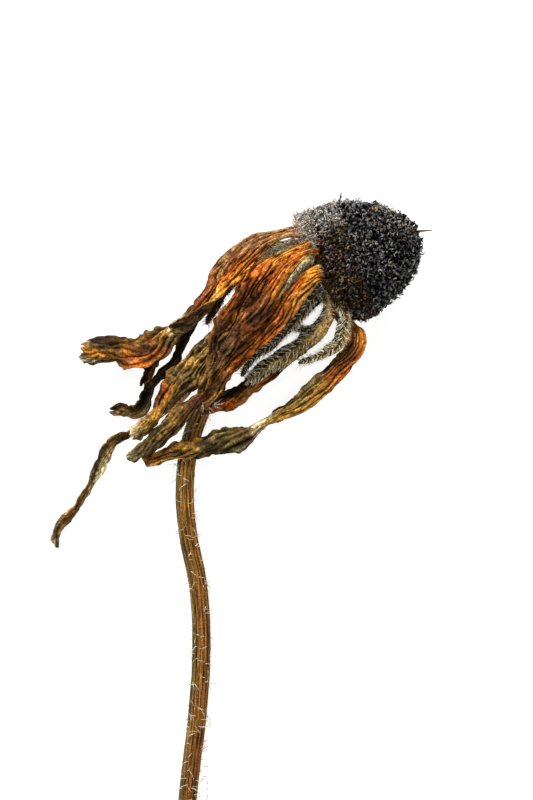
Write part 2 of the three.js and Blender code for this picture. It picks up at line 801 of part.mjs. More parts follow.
function buildFlower() {
  const flower = new THREE.Group();
  const ground = groundSolid();
  const seatCutter = receptacleSolid(SEAT_GAP);

  function addPart(name, solid, finish) {
    const body = largestBody(solid.subtract(ground));
    const mesh = new THREE.Mesh(geometryFromSolid(body), new THREE.MeshStandardMaterial(finish));
    mesh.name = name;
    flower.add(mesh);
  }

  function addBlade({ name, seat, path }, radius, back, columns, folds, finish) {
    const start = headPoint(THREE.MathUtils.degToRad(seat), radius - BLADE_SUNK, -back);
    const blade = bladeSolid(bladeStations(start, path), columns, folds);
    addPart(name, blade.subtract(seatCutter), finish);
  }

  addPart("stem_and_receptacle", stemSolid(), FINISHES.stem);
  addPart("floret_cone", coneSolid(), FINISHES.florets);
  for (const ray of RAYS) {
    addBlade(ray, RAY_RING_RADIUS, RAY_RING_BACK, RAY_COLUMNS, ray.folds, FINISHES.petals);
  }
  for (const bract of BRACTS) {
    addBlade(bract, BRACT_RING_RADIUS, BRACT_RING_BACK, BRACT_COLUMNS, 0, FINISHES.bracts);
  }
  return flower;
}

export default buildFlower();
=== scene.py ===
# The looks of a dried coneflower head on its cut stem, lying on a pale surface and seen from above.
# Lengths in the tables are millimetres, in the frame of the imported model.

import math
from collections import namedtuple

import bpy
import numpy as np
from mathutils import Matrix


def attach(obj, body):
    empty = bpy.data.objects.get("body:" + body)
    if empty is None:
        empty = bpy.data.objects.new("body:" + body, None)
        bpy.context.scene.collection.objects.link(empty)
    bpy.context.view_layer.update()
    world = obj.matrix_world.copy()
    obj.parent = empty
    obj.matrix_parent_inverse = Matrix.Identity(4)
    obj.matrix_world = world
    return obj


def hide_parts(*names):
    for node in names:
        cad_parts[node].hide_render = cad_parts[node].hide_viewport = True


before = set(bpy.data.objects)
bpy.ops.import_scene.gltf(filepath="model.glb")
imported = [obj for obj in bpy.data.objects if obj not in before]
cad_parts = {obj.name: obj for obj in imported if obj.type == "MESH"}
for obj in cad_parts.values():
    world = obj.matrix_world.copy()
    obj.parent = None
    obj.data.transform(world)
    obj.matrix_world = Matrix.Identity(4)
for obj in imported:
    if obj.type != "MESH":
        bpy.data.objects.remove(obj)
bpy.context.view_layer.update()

MM = 0.001
BODY = "root"

# The photograph's height stands for this many millimetres, and its centre lies over this point
VIEW_HEIGHT = 124.0
VIEW_CENTRE = (4.34, 20.6)
VIEW_PLANE = 8.0
LENS = 300.0
SENSOR = 36.0

# The head, as in the solids
CONE_RADIUS = 9.8
CONE_HEIGHT = 13.3
CONE_BULGE = 0.65
HEAD_TURN = math.radians(19)
HEAD_LIFT = math.radians(8)
HEAD_BASE = np.array([16.3, 41.9, 9.15])
RAY_RING = (7.3, -2.4)
BRACT_RING = (5.3, -3.9)
BLADE_SUNK = 0.6
STEM_RADIUS = 1.4
RIDGE_SHARE = 0.05
EDGE_WAVE = 0.22
EDGE_WAVE_LENGTH = 8.0

UP = np.array([0.0, 0.0, 1.0])
HEAD_AXIS = np.array([
    math.cos(HEAD_TURN) * math.cos(HEAD_LIFT),
    math.sin(HEAD_TURN) * math.cos(HEAD_LIFT),
    math.sin(HEAD_LIFT),
])
HEAD_SIDE = np.array([-math.sin(HEAD_TURN), math.cos(HEAD_TURN), 0.0])
HEAD_UP = np.cross(HEAD_AXIS, HEAD_SIDE)


def linear(red, green, blue):
    """A display colour from 0 to 255 as linear light"""
    shares = np.array([red, green, blue]) / 255.0
    return np.where(shares <= 0.04045, shares / 12.92, ((shares + 0.055) / 1.055) ** 2.4)


GOLD = linear(224, 168, 70)
AMBER = linear(206, 134, 40)
ORANGE = linear(178, 90, 23)
RUST = linear(136, 70, 21)
BRICK = linear(94, 49, 17)
UMBER = linear(64, 41, 17)
DARK = linear(34, 24, 14)
SOOT = linear(16, 13, 10)
FAWN = linear(158, 112, 66)
OCHRE = linear(148, 106, 38)
KHAKI = linear(116, 92, 42)
OLIVE = linear(92, 76, 34)
MOSS = linear(52, 44, 22)
TAN = linear(176, 134, 90)
CREAM = linear(226, 208, 158)
PALE = linear(196, 180, 136)
GREY = linear(112, 98, 68)
CHARCOAL = linear(21, 20, 20)
ASH = linear(120, 120, 122)
HAIR = linear(238, 234, 222)
STRAW = linear(206, 176, 112)
RIBBON_GOLD = linear(232, 186, 104)
STEM_TAN = linear(160, 114, 50)
STEM_BROWN = linear(134, 86, 36)
# Olive tones of the stem's left flank: partly its own tone, partly painted shade
STEM_OLIVE = linear(112, 98, 58)
GROOVE_BROWN = linear(70, 42, 16)
GROOVE_DARK = linear(48, 26, 10)
GROOVE_OLIVE = linear(48, 42, 22)

# Each petal: seat round the head in degrees, folds across it, ridges across it, midline rows of
# x, y, z, width and roll, then stops along it: place, crest colour at one edge and at the other,
# and valley colour
RAYS = {
    "ray_top_outer": (0, 2, 4, [
        [9.4, 47.2, 10.7, 1.4, 65], [6.5, 46.6, 12.0, 1.8, 50], [3.4, 45.3, 12.6, 2.7, 38],
        [0.4, 43.3, 12.2, 3.7, 22], [-2.1, 40.5, 11.4, 4.0, 15], [-4.4, 37.2, 10.2, 3.1, 25],
        [-7.2, 33.9, 8.6, 2.7, 45], [-10.6, 31.0, 7.4, 3.2, 25], [-14.4, 28.4, 6.4, 4.7, 8],
        [-19.0, 28.3, 5.6, 3.4, -10], [-22.4, 28.8, 5.0, 2.2, 15], [-24.6, 29.0, 4.8, 1.2, 35],
    ], [
        (0.0, TAN, TAN, RUST), (0.1, TAN, TAN, RUST), (0.25, TAN, FAWN, BRICK),
        (0.38, FAWN, ORANGE, BRICK), (0.47, RUST, ORANGE, UMBER), (0.54, RUST, BRICK, UMBER),
        (0.58, OLIVE, UMBER, DARK), (0.64, PALE, OLIVE, MOSS), (0.69, OCHRE, UMBER, DARK),
        (0.75, UMBER, RUST, DARK), (0.82, UMBER, ORANGE, SOOT), (0.9, UMBER, AMBER, SOOT),
        (0.97, UMBER, AMBER, SOOT), (1.0, PALE, AMBER, SOOT),
    ]),
    "ray_top_inner": (33, 2, 3, [
        [9.4, 46.0, 14.2, 1.3, 50], [6.6, 45.6, 15.1, 1.6, 30], [3.8, 44.0, 15.0, 2.2, 12],
        [1.3, 41.8, 14.4, 2.5, 5], [-1.1, 39.4, 13.6, 2.2, 20], [-3.0, 37.2, 12.8, 1.5, 55],
        [-4.4, 35.4, 12.4, 1.3, 110], [-6.5, 33.7, 11.2, 1.6, 150], [-8.6, 32.4, 10.2, 1.9, 170],
        [-10.6, 31.4, 9.5, 1.6, 185],
    ], [
        (0.0, TAN, CREAM, UMBER), (0.12, TAN, TAN, UMBER), (0.25, TAN, OCHRE, RUST),
        (0.4, RUST, ORANGE, BRICK), (0.55, ORANGE, AMBER, BRICK), (0.62, ORANGE, AMBER, RUST),
        (0.68, GOLD, GOLD, OCHRE), (0.73, OCHRE, OCHRE, UMBER), (0.78, UMBER, BRICK, DARK),
        (1.0, OLIVE, UMBER, SOOT),
    ]),
    "ray_front_left": (50, 2, 4, [
        [10.6, 44.6, 16.4, 1.3, 25], [8.3, 43.5, 16.8, 1.7, 8], [5.8, 41.8, 16.8, 2.4, 0],
        [3.2, 39.6, 16.3, 3.1, -5], [0.85, 37.1, 15.4, 3.0, -8], [-0.95, 34.5, 14.3, 2.6, 0],
        [-2.8, 31.7, 13.0, 2.7, 20], [-4.0, 28.8, 11.8, 2.1, 50], [-4.8, 25.9, 10.9, 1.6, 80],
        [-5.6, 23.4, 10.4, 1.2, 110], [-6.4, 21.6, 10.0, 0.8, 140],
    ], [
        (0.0, TAN, TAN, BRICK), (0.1, AMBER, AMBER, BRICK), (0.2, AMBER, ORANGE, BRICK),
        (0.32, ORANGE, ORANGE, BRICK), (0.46, RUST, BRICK, DARK), (0.56, RUST, BRICK, DARK),
        (0.67, BRICK, UMBER, DARK), (0.77, BRICK, UMBER, DARK), (0.88, UMBER, UMBER, SOOT),
        (1.0, OLIVE, UMBER, SOOT),
    ]),
    "ray_front_middle": (70, 1, 4, [
        [11.5, 43.2, 18.2, 1.2, 15], [9.3, 42.3, 18.6, 1.6, 8], [7.3, 40.4, 18.3, 2.1, 0],
        [5.4, 37.4, 17.9, 2.7, 0], [3.0, 34.2, 16.9, 3.0, 0], [0.6, 31.6, 15.6, 2.8, 8],
        [-1.5, 29.0, 14.5, 2.2, 35], [-3.2, 26.3, 13.2, 1.6, 75], [-4.4, 23.9, 12.6, 1.1, 110],
    ], [
        (0.0, TAN, OCHRE, BRICK), (0.1, AMBER, AMBER, BRICK), (0.22, ORANGE, OCHRE, BRICK),
        (0.36, ORANGE, OCHRE, BRICK), (0.5, RUST, BRICK, DARK), (0.67, BRICK, BRICK, DARK),
        (0.8, UMBER, UMBER, SOOT), (1.0, RUST, UMBER, SOOT),
    ]),
    "ray_front_right": (95, 2, 5, [
        [11.9, 39.8, 17.9, 2.2, 0], [9.8, 38.0, 17.3, 2.8, 5], [7.9, 35.6, 16.5, 3.3, 5],
        [5.6, 32.8, 15.3, 3.4, 0], [2.8, 30.0, 13.8, 3.3, -5], [0.0, 27.5, 12.2, 3.1, -10],
        [-2.5, 24.6, 10.4, 2.9, 8], [-4.9, 21.4, 8.8, 2.6, 28], [-8.0, 18.5, 7.8, 2.3, 10],
        [-11.5, 15.7, 7.0, 2.1, -15], [-14.9, 13.2, 6.3, 1.7, 15], [-17.5, 11.8, 5.9, 1.1, 45],
    ], [
        (0.0, CREAM, OLIVE, BRICK), (0.06, AMBER, AMBER, RUST), (0.13, ORANGE, GOLD, BRICK),
        (0.2, ORANGE, AMBER, BRICK), (0.3, RUST, ORANGE, DARK), (0.4, BRICK, ORANGE, DARK),
        (0.5, UMBER, ORANGE, DARK), (0.58, RUST, UMBER, DARK), (0.68, BRICK, UMBER, SOOT),
        (0.8, OLIVE, UMBER, DARK), (0.9, KHAKI, UMBER, DARK), (0.96, OLIVE, GREY, UMBER),
        (1.0, PALE, GREY, OLIVE),
    ]),
    "ray_right_long": (186, 2, 4, [
        [17.8, 32.3, 9.9, 1.5, -60], [18.7, 30.6, 10.8, 1.9, -40], [18.2, 28.4, 10.7, 2.3, -18],
        [16.5, 26.3, 10.2, 2.8, 0], [14.3, 24.2, 9.5, 3.1, 10], [12.0, 22.0, 8.7, 3.1, 18],
        [9.4, 20.0, 7.8, 2.5, 10], [6.6, 18.4, 7.0, 2.0, 35], [4.1, 17.1, 6.5, 1.9, 70],
        [1.3, 15.5, 6.3, 2.6, 30], [-2.1, 14.3, 6.1, 3.1, 0], [-5.5, 13.3, 5.4, 2.8, -15],
        [-9.1, 12.5, 4.7, 2.3, 0], [-12.5, 11.9, 4.2, 1.9, 25], [-15.1, 11.9, 3.9, 1.2, 50],
    ], [
        (0.0, OCHRE, AMBER, BRICK), (0.1, RUST, AMBER, BRICK), (0.18, UMBER, ORANGE, DARK),
        (0.29, UMBER, RUST, DARK), (0.36, OLIVE, OCHRE, UMBER), (0.43, OLIVE, OCHRE, UMBER),
        (0.5, OCHRE, OCHRE, MOSS), (0.56, PALE, OCHRE, OLIVE), (0.605, PALE, GREY, MOSS),
        (0.63, UMBER, DARK, SOOT), (0.7, OLIVE, OLIVE, SOOT), (0.77, UMBER, OLIVE, SOOT),
        (0.85, OCHRE, OCHRE, DARK), (0.93, AMBER, OCHRE, DARK), (1.0, RUST, ORANGE, DARK),
    ]),
    "ray_lower_claw": (162, 2, 5, [
        [14.9, 34.3, 10.5, 1.1, -30], [13.7, 32.5, 9.5, 1.5, -10], [12.0, 30.5, 8.7, 1.8, 0],
        [9.8, 28.7, 8.3, 2.0, 8], [7.3, 26.9, 7.9, 2.3, 12], [4.0, 24.2, 7.4, 2.6, 8],
        [0.6, 21.5, 6.8, 2.8, 0], [-3.2, 20.0, 6.2, 2.3, -10], [-6.3, 19.2, 5.8, 1.7, -30],
        [-9.1, 18.6, 5.4, 1.3, -60], [-11.4, 17.8, 5.1, 1.0, -85],
    ], [
        (0.0, RUST, RUST, UMBER), (0.2, BRICK, RUST, DARK), (0.4, UMBER, BRICK, DARK),
        (0.5, UMBER, RUST, DARK), (0.64, DARK, RUST, SOOT), (0.76, DARK, ORANGE, SOOT),
        (0.9, DARK, UMBER, SOOT), (1.0, DARK, DARK, SOOT),
    ]),
    "ray_olive": (20, 2, 5, [
        [9.4, 44.5, 11.5, 1.4, 35], [6.4, 41.8, 10.8, 1.9, 20], [2.9, 37.8, 10.2, 2.2, 10],
        [-0.7, 33.7, 9.8, 2.3, 0], [-3.5, 30.2, 9.3, 2.4, 10], [-5.5, 27.3, 9.0, 3.0, 18],
        [-8.1, 24.5, 8.5, 3.9, 8], [-10.3, 21.6, 7.8, 2.8, -10], [-12.2, 18.9, 7.2, 2.2, -38],
        [-14.2, 16.6, 6.6, 2.0, -20], [-16.7, 14.8, 6.2, 1.4, 18],
    ], [
        (0.0, RUST, OLIVE, UMBER), (0.4, OLIVE, UMBER, DARK), (0.5, KHAKI, UMBER, DARK),
        (0.56, KHAKI, OLIVE, DARK), (0.65, OCHRE, OLIVE, DARK), (0.72, KHAKI, OLIVE, DARK),
        (0.8, ORANGE, KHAKI, DARK), (0.88, OCHRE, OCHRE, UMBER), (0.94, OCHRE, KHAKI, DARK),
        (0.97, PALE, OCHRE, OLIVE), (1.0, CREAM, PALE, OLIVE),
    ]),
    "ray_back_dark": (332, 1, 5, [
        [8.4, 45.2, 6.4, 1.6, -120], [5.0, 43.8, 6.0, 1.9, -150], [1.4, 41.5, 6.1, 1.9, -170],
        [-1.9, 39.1, 6.3, 1.7, -180], [-4.9, 36.1, 6.2, 1.6, -190], [-7.2, 32.6, 5.6, 1.4, -180],
        [-8.7, 29.4, 4.9, 1.3, -165], [-9.6, 26.8, 4.2, 1.2, -180], [-11.3, 25.2, 3.6, 1.3, -200],
        [-13.2, 23.6, 3.0, 1.2, -215], [-14.6, 21.4, 2.0, 1.3, -205], [-15.9, 19.4, 1.2, 2.0, -190],
        [-18.2, 18.9, 0.7, 2.2, -172], [-20.2, 18.9, 0.4, 1.4, -160],
    ], [
        (0.0, RUST, RUST, UMBER), (0.4, UMBER, UMBER, DARK), (0.55, UMBER, DARK, SOOT),
        (0.88, DARK, DARK, SOOT), (0.93, KHAKI, UMBER, SOOT), (1.0, GREY, UMBER, DARK),
    ]),
    "ray_back_short": (308, 1, 4, [
        [8.0, 42.5, 3.7, 1.8, -150], [4.2, 41.6, 3.4, 2.0, -170], [-0.2, 40.2, 3.4, 1.9, -180],
        [-4.5, 36.8, 3.5, 1.7, -188], [-8.5, 31.9, 3.4, 1.6, -170], [-11.6, 28.6, 3.0, 1.6, -152],
        [-13.4, 26.6, 2.3, 1.4, -180], [-14.2, 24.6, 1.6, 1.2, -200], [-14.7, 22.6, 1.0, 0.9, -190],
    ], [
        (0.0, RUST, RUST, UMBER), (0.5, UMBER, UMBER, DARK), (0.8, UMBER, DARK, SOOT),
        (1.0, OCHRE, UMBER, DARK),
    ]),
    "ray_back_thread": (283, 1, 4, [
        [8.9, 39.8, 2.3, 1.8, -180], [4.3, 36.0, 1.7, 1.9, -180], [-0.6, 30.9, 1.4, 1.8, -180],
        [-5.4, 25.3, 1.1, 1.7, -180], [-9.6, 20.8, 0.8, 1.6, -188], [-13.7, 17.7, 0.7, 1.6, -200],
        [-16.6, 16.0, 0.8, 1.4, -222], [-19.3, 14.0, 0.8, 1.5, -200], [-20.8, 11.5, 0.6, 1.8, -172],
        [-22.1, 9.1, 0.6, 1.8, -155], [-23.3, 7.0, 0.6, 1.1, -190], [-25.3, 4.3, 0.6, 1.3, -225],
        [-26.9, 2.0, 0.5, 1.5, -200], [-28.1, 0.0, 0.4, 1.0, -180], [-28.4, -2.5, 0.4, 0.8, -180],
    ], [
        (0.0, RUST, RUST, UMBER), (0.5, FAWN, BRICK, DARK), (0.62, FAWN, RUST, DARK),
        (0.7, TAN, KHAKI, DARK), (0.78, PALE, GREY, DARK), (0.86, TAN, OCHRE, UMBER),
        (0.93, FAWN, TAN, UMBER), (1.0, GREY, PALE, UMBER),
    ]),
    "ray_under_middle": (256, 1, 4, [
        [10.8, 37.2, 2.2, 1.9, -180], [7.4, 34.4, 1.5, 2.3, -180], [3.8, 31.2, 1.2, 2.2, -180],
        [0.9, 28.6, 1.0, 1.7, -188], [-1.0, 26.4, 0.8, 1.1, -200],
    ], [
        (0.0, ORANGE, OCHRE, BRICK), (0.5, RUST, UMBER, DARK), (1.0, OLIVE, UMBER, DARK),
    ]),
    "ray_under_right": (231, 1, 4, [
        [13.9, 34.3, 3.5, 1.6, -205], [11.6, 31.2, 2.6, 1.9, -195], [8.9, 28.8, 1.9, 2.0, -180],
        [6.1, 26.6, 1.3, 1.9, -180], [3.6, 24.8, 0.9, 1.4, -172], [1.8, 23.6, 0.6, 1.0, -180],
    ], [
        (0.0, ORANGE, OCHRE, BRICK), (0.5, RUST, BRICK, UMBER), (1.0, OLIVE, UMBER, DARK),
    ]),
    "ray_under_long": (206, 2, 4, [
        [17.4, 32.3, 5.4, 1.6, -235], [17.6, 29.3, 4.1, 1.9, -218], [15.9, 26.1, 3.0, 2.2, -198],
        [13.0, 23.1, 1.9, 2.2, -182], [10.1, 20.8, 1.1, 1.9, -180], [7.4, 18.9, 0.6, 1.4, -188],
        [4.9, 17.5, 0.4, 1.0, -180],
    ], [
        (0.0, ORANGE, AMBER, BRICK), (0.3, RUST, ORANGE, UMBER), (0.7, RUST, UMBER, DARK),
        (1.0, OCHRE, UMBER, DARK),
    ]),
}

# Each bract: seat round the head in degrees, midline rows as above, and stops of colour
GREEN_TONES = [(0.0, OLIVE, OLIVE, DARK), (0.6, OLIVE, MOSS, DARK), (1.0, OLIVE, MOSS, DARK)]
CREAM_TONES = [(0.0, CREAM, CREAM, OLIVE), (0.7, CREAM, PALE, OLIVE), (1.0, PALE, OLIVE, MOSS)]
BRACTS = {
    "bract_top": (50, [
        [8.6, 44.2, 13.3, 1.4, 28], [6.6, 43.5, 13.4, 1.7, 18], [4.6, 42.1, 13.2, 1.5, 8],
        [2.4, 40.2, 12.8, 1.2, 0], [0.9, 38.9, 12.4, 1.0, 0], [-0.3, 37.8, 12.1, 0.7, 0],
    ], CREAM_TONES),
    "bract_front_cream": (67, [
        [10.9, 42.4, 15.6, 1.4, 8], [9.2, 41.4, 15.7, 1.6, 4], [8.0, 39.5, 15.4, 1.4, 0],
        [7.2, 37.5, 14.8, 1.1, 0], [6.2, 35.5, 14.1, 0.8, 0],
    ], [(0.0, CREAM, CREAM, OLIVE), (0.75, CREAM, PALE, OLIVE), (1.0, PALE, OLIVE, MOSS)]),
    "bract_front_olive": (102, [
        [12.0, 37.0, 15.1, 1.4, -8], [10.8, 35.6, 14.7, 1.9, -8], [9.7, 33.7, 13.9, 1.8, 0],
        [8.3, 31.9, 13.1, 1.6, 5], [6.6, 30.4, 12.1, 1.7, 10], [4.7, 28.8, 11.0, 1.3, 8],
        [2.9, 27.6, 10.5, 1.1, 0], [1.3, 25.9, 10.1, 0.9, 0], [0.4, 24.3, 9.8, 0.7, 15],
    ], GREEN_TONES),
    "bract_ribbon": (120, [
        [13.7, 35.4, 14.0, 1.1, -10], [13.3, 33.3, 12.6, 2.0, -8], [11.8, 31.1, 11.6, 2.8, 0],
        [9.5, 29.1, 10.7, 2.8, 5], [7.1, 27.4, 9.9, 2.8, 5], [4.6, 25.8, 9.2, 2.4, 0],
        [2.4, 24.4, 8.7, 1.8, -8], [1.0, 23.8, 8.4, 1.0, -18],
    ], [(0.0, GREY, OLIVE, DARK), (0.3, OLIVE, OLIVE, DARK), (1.0, OLIVE, OLIVE, DARK)]),
    "bract_hooked": (82, [
        [10.2, 38.6, 13.2, 1.1, 0], [9.0, 36.0, 12.0, 1.3, 0], [7.9, 34.0, 11.2, 1.2, 0],
        [8.4, 32.4, 10.6, 1.1, 0], [10.0, 31.5, 10.0, 1.0, 0], [11.6, 30.9, 9.7, 0.7, 0],
    ], [(0.0, MOSS, DARK, SOOT), (1.0, MOSS, DARK, SOOT)]),
    "bract_right": (140, [
        [16.3, 34.0, 13.3, 1.1, -25], [16.1, 31.8, 12.3, 1.9, -18], [15.8, 29.9, 11.9, 1.9, -8],
        [14.6, 28.6, 11.4, 1.5, 0], [12.8, 27.6, 10.8, 1.1, 8], [10.9, 26.8, 10.2, 0.9, 15],
        [9.3, 26.2, 9.8, 0.7, 20],
    ], [(0.0, OLIVE, OCHRE, MOSS), (0.6, OLIVE, OLIVE, DARK), (1.0, OLIVE, UMBER, DARK)]),
    "bract_lower_right": (180, [
        [15.2, 33.4, 8.5, 1.1, -90], [15.9, 31.2, 8.0, 1.3, -60], [15.7, 29.9, 7.7, 1.0, -40],
        [15.0, 29.0, 7.5, 0.7, -30],
    ], GREEN_TONES),
    "bract_under_right": (208, [
        [13.9, 33.6, 6.3, 1.4, -150], [12.2, 31.2, 5.6, 1.5, -160], [9.9, 29.2, 5.2, 1.4, -170],
        [7.6, 27.5, 4.9, 1.0, -180], [5.7, 26.2, 4.7, 0.7, -180],
    ], GREEN_TONES),
    "bract_under_middle": (240, [
        [11.6, 35.6, 4.4, 1.4, -170], [9.2, 33.4, 4.1, 1.6, -180], [6.8, 31.6, 3.8, 1.4, -180],
        [4.6, 30.2, 3.5, 1.0, -180], [2.9, 29.4, 3.3, 0.7, -180],
    ], GREEN_TONES),
    "bract_under_left": (275, [
        [10.0, 39.0, 4.6, 1.4, -180], [7.2, 37.0, 4.7, 1.6, -180], [4.4, 35.1, 4.7, 1.3, -180],
        [1.8, 33.5, 4.6, 0.9, -180], [0.2, 32.2, 4.5, 0.7, -180],
    ], GREEN_TONES),
    "bract_back_left": (315, [
        [9.0, 42.4, 7.0, 1.4, -130], [6.0, 41.2, 7.5, 1.5, -140], [3.0, 40.2, 7.8, 1.3, -150],
        [0.0, 39.0, 8.0, 1.2, -160], [-2.5, 37.0, 8.2, 1.1, -165], [-3.8, 34.6, 8.3, 1.0, -170],
        [-4.9, 32.2, 8.3, 0.7, -170],
    ], GREEN_TONES),
    "bract_back_top": (354, [
        [8.6, 44.8, 9.6, 1.3, 80], [5.8, 44.0, 9.6, 1.3, 60], [3.5, 42.7, 9.5, 1.0, 48],
        [1.9, 41.5, 9.4, 0.7, 38],
    ], CREAM_TONES),
}

# The stem's midline from the receptacle to the cut end, and the receptacle's radius along the axis
STEM_PATH = [
    [5.7, 36.6, 8.0], [1.9, 32.4, 6.7], [-1.2, 27.7, 5.3], [-4.2, 22.3, 3.6], [-6.8, 16.5, 2.2],
    [-8.1, 11.0, 1.5], [-8.4, 5.0, 1.25], [-7.8, -1.0, 1.25], [-6.4, -8.0, 1.25], [-5.8, -17.0, 1.25],
    [-6.4, -28.0, 1.25], [-7.8, -40.0, 1.25], [-8.6, -52.0, 1.25],
]
RECEPTACLE_PROFILE = [
    (-9.4, 1.4), (-7.6, 1.75), (-6.2, 2.6), (-5.0, 4.0), (-3.7, 5.6), (-2.5, 7.0), (-1.4, 7.7),
    (-0.45, 7.6),
]

# How finely the blades are divided: rows for each span of the midline, and points across
PETAL_STATIONS = 16
PETAL_COLUMNS = 41
BRACT_STATIONS = 12
BRACT_COLUMNS = 21
BRACT_RIDGES = 4
# How a blade curls and crumples from base to tip, how ragged its edges and how thick it is, the
# notches in its tip (place across, half width, depth), the bites out of its edges (share of the
# length, half length as a share, side, share of the width), and how much its tip spreads
PETAL_LOOK = {
    "curl": [(0, 0.5), (0.4, 0.45), (0.65, 0.9), (1, 1.4)],
    "crumple": [(0, 0.02), (0.35, 0.05), (0.6, 0.16), (1, 0.24)],
    "ragged": 0.09,
    "thickness": 0.3,
    "notches": [(-0.4, 0.22, 0.8), (0.35, 0.2, 0.6)],
    "bites": [],
    "spread": 0.0,
}
BRACT_LOOK = {
    "curl": [(0, 0.45), (1, 0.7)],
    "crumple": [(0, 0.03), (1, 0.06)],
    "ragged": 0.1,
    "thickness": 0.34,
    "notches": [],
    "bites": [],
    "spread": 0.0,
}
# What single blades have of their own
OWN_LOOK = {
    "ray_top_outer": {"notches": [(-0.5, 0.25, 0.9), (0.3, 0.2, 0.7)]},
    "ray_right_long": {"spread": 0.7},
    "ray_top_inner": {"bites": [(0.24, 0.14, -1, 0.5), (0.1, 0.08, -1, 0.5)]},
    "ray_front_left": {"bites": [(0.51, 0.07, 1, 0.5), (0.14, 0.12, 1, 0.5)]},
    "ray_front_middle": {"bites": [(0.1, 0.12, -1, 0.7)]},
    "bract_front_olive": {"bites": [(0.3, 0.12, -1, 0.55), (0.56, 0.12, -1, 0.6)]},
    "bract_ribbon": {"bites": [(0.3, 0.12, 1, 0.3), (0.6, 0.12, 1, 0.4)]},
}
# A torn lobe that lies under a petal's tip: midline rows and colour stops as in the petals
LOBES = {
    "ray_top_outer": ([
        [-17.2, 27.6, 4.4],
        [-18.6, 27.35, 4.3, 1.2, 5], [-20.6, 27.2, 4.2, 1.5, 0], [-22.8, 27.25, 4.1, 1.6, -8],
        [-24.9, 27.45, 4.0, 1.1, 10],
    ], [(0.0, DARK, UMBER, SOOT), (0.5, OLIVE, UMBER, DARK), (1.0, GREY, PALE, DARK)]),
}
# What is worked out along a blade: places, directions along it, across it and out of its face,
# widths, and distances from its base
Frames = namedtuple("Frames", "place along side face width travelled")
# Marks on a blade: their size across and along it, and a number of their own for the noise. Where
# the size across is 1, they are placed by the share of the half width instead of by millimetres
FOLD_SWAY = (1.0, 4.0, 2)
WRINKLES = (0.6, 5.0, 3)
CRACKLES = (0.24, 2.4, 4)
CRUSHES = (0.9, 2.6, 5)
LUMPS = (1.3, 2.8, 6)
SPECKS = (0.26, 0.5, 7)
PATCHES = (1.0, 3.6, 8)
TONE_EDGE = (1.0, 2.8, 9)
EVENNESS = (1.0, 4.0, 14)
CREST_BREAKS = (0.8, 5.0, 15)
# Below this height a blade is eased onto the ground
NEAR_GROUND = 0.4

# The pale band along a bract: colour, place across, half width, strength from base to tip, and the
# share by which bristles on it are shorter
PLAIN_MIDRIB = (OLIVE, 0.0, 0.16, [(0, 0.6), (1, 0.3)], 0.6)
MIDRIBS = {
    "bract_ribbon": (RIBBON_GOLD, -0.5, 0.6, [(0, 1), (0.36, 1), (0.5, 0.3), (1, 0.1)], 0.75),
    # The cream bands of these three bracts are lifted by 1.3, painted light that brightens them where they
    # lie in shade
    "bract_front_cream": (CREAM * 1.3, 0.2, 1.6, [(0, 1), (0.8, 1), (1, 0.5)], 0.1),
    "bract_top": (CREAM * 1.3, 0.0, 1.8, [(0, 1), (0.75, 0.9), (1, 0.5)], 0.1),
    "bract_back_top": (CREAM * 1.3, 0.0, 1.8, [(0, 1), (1, 0.8)], 0.1),
    "bract_right": (STRAW, -0.7, 0.35, [(0, 0.5), (0.5, 1), (0.7, 0.3), (1, 0)], 0.75),
}
# The raised line along a bract's middle: its half width as a share, and its height
RIB_WIDTH = 0.14
RIB_HEIGHT = 0.16
# Rows of bristles on each half of a bract: place across, and 1 on its face or -1 on its back
BRISTLE_ROWS = [(0.1, 1.0), (0.5, 1.0), (0.95, 1.0), (0.6, -1.0)]
BRISTLE_SPACING = 0.42
BRISTLE_MARGIN = 0.3
BRISTLE_WIDTH = 0.11
# Bristles from this share of the half width outwards stay long on a pale band
EDGE_BRISTLES = 0.8
# The dark slanting strips between a bract's bristles
SHADOW_SPACING = 0.66
SHADOW_SLANT = -0.45
SHADOW_DEPTH = 0.75

# How finely the stem is divided, its ribs, and the white hairs on it
STEM_RINGS = 360
STEM_SIDES = 140
STEM_RIBS = 14
STEM_HAIR_PAIRS = 250
STEM_HAIR_WIDTH = 0.12
# Rings of the cut end from its middle outwards: share of the radius, depth into the stem, colour
CUT_END = [
    (0.05, 0.22, CREAM * 0.8),
    (0.4, 0.25, CREAM * 0.75),
    (0.74, 0.18, TAN * 0.8),
    (0.8, 0.0, UMBER),
]
# Loose hairs caught on the petals and the stem: place, way, length, number and colour
TUFTS = [
    ((-4.2, 20.2, 8.8), (0.8, -0.7, 0.1), 1.9, 12, HAIR),
    ((9.6, 46.9, 11.6), (-0.6, 0.3, 0.2), 1.4, 40, FAWN),
    ((-8.2, 15.4, 3.2), (0.9, 0.2, 0.1), 1.6, 14, HAIR),
    ((-5.6, -39.0, 1.8), (0.1, -0.6, 0.1), 0.9, 6, RUST),
]

# How deep the cone's core and curls lie inside its outline, the size of the lumps that they share
# and its number for the noise, and how many florets, curls, stalks and hairs there are
CORE_INSET = 1.9
CURL_INSET = 0.7
CONE_LUMP = 2.6
CONE_SEED = 93
CONE_FLORETS = 2300
CONE_CURLS = 2000
RIM_FLORETS = 1300
RIM_STALKS = 800
BULGE_HAIRS = 420
FLORET_SIDES = 6
# A floret from root to mouth: share of its length, share of its width, and how far its teeth stand
# out and up
FLORET_PROFILE = np.array([
    [0.0, 0.5, 0.0, 0.0],
    [0.5, 0.52, 0.0, 0.0],
    [0.8, 0.95, 0.05, 0.0],
    [0.95, 1.0, 0.2, 0.04],
    [0.8, 0.4, 0.0, 0.0],
])
# How far behind its base plane the cone's rim hangs, by degrees round the head
RIM_BACK = [
    (-60, -1.2), (-25, -3.6), (0, -4.6), (25, -4.6), (55, -2.5), (78, -2.8), (94, -2.4), (112, -2.1),
    (125, -1.8), (145, -1.3), (310, -1.2),
]
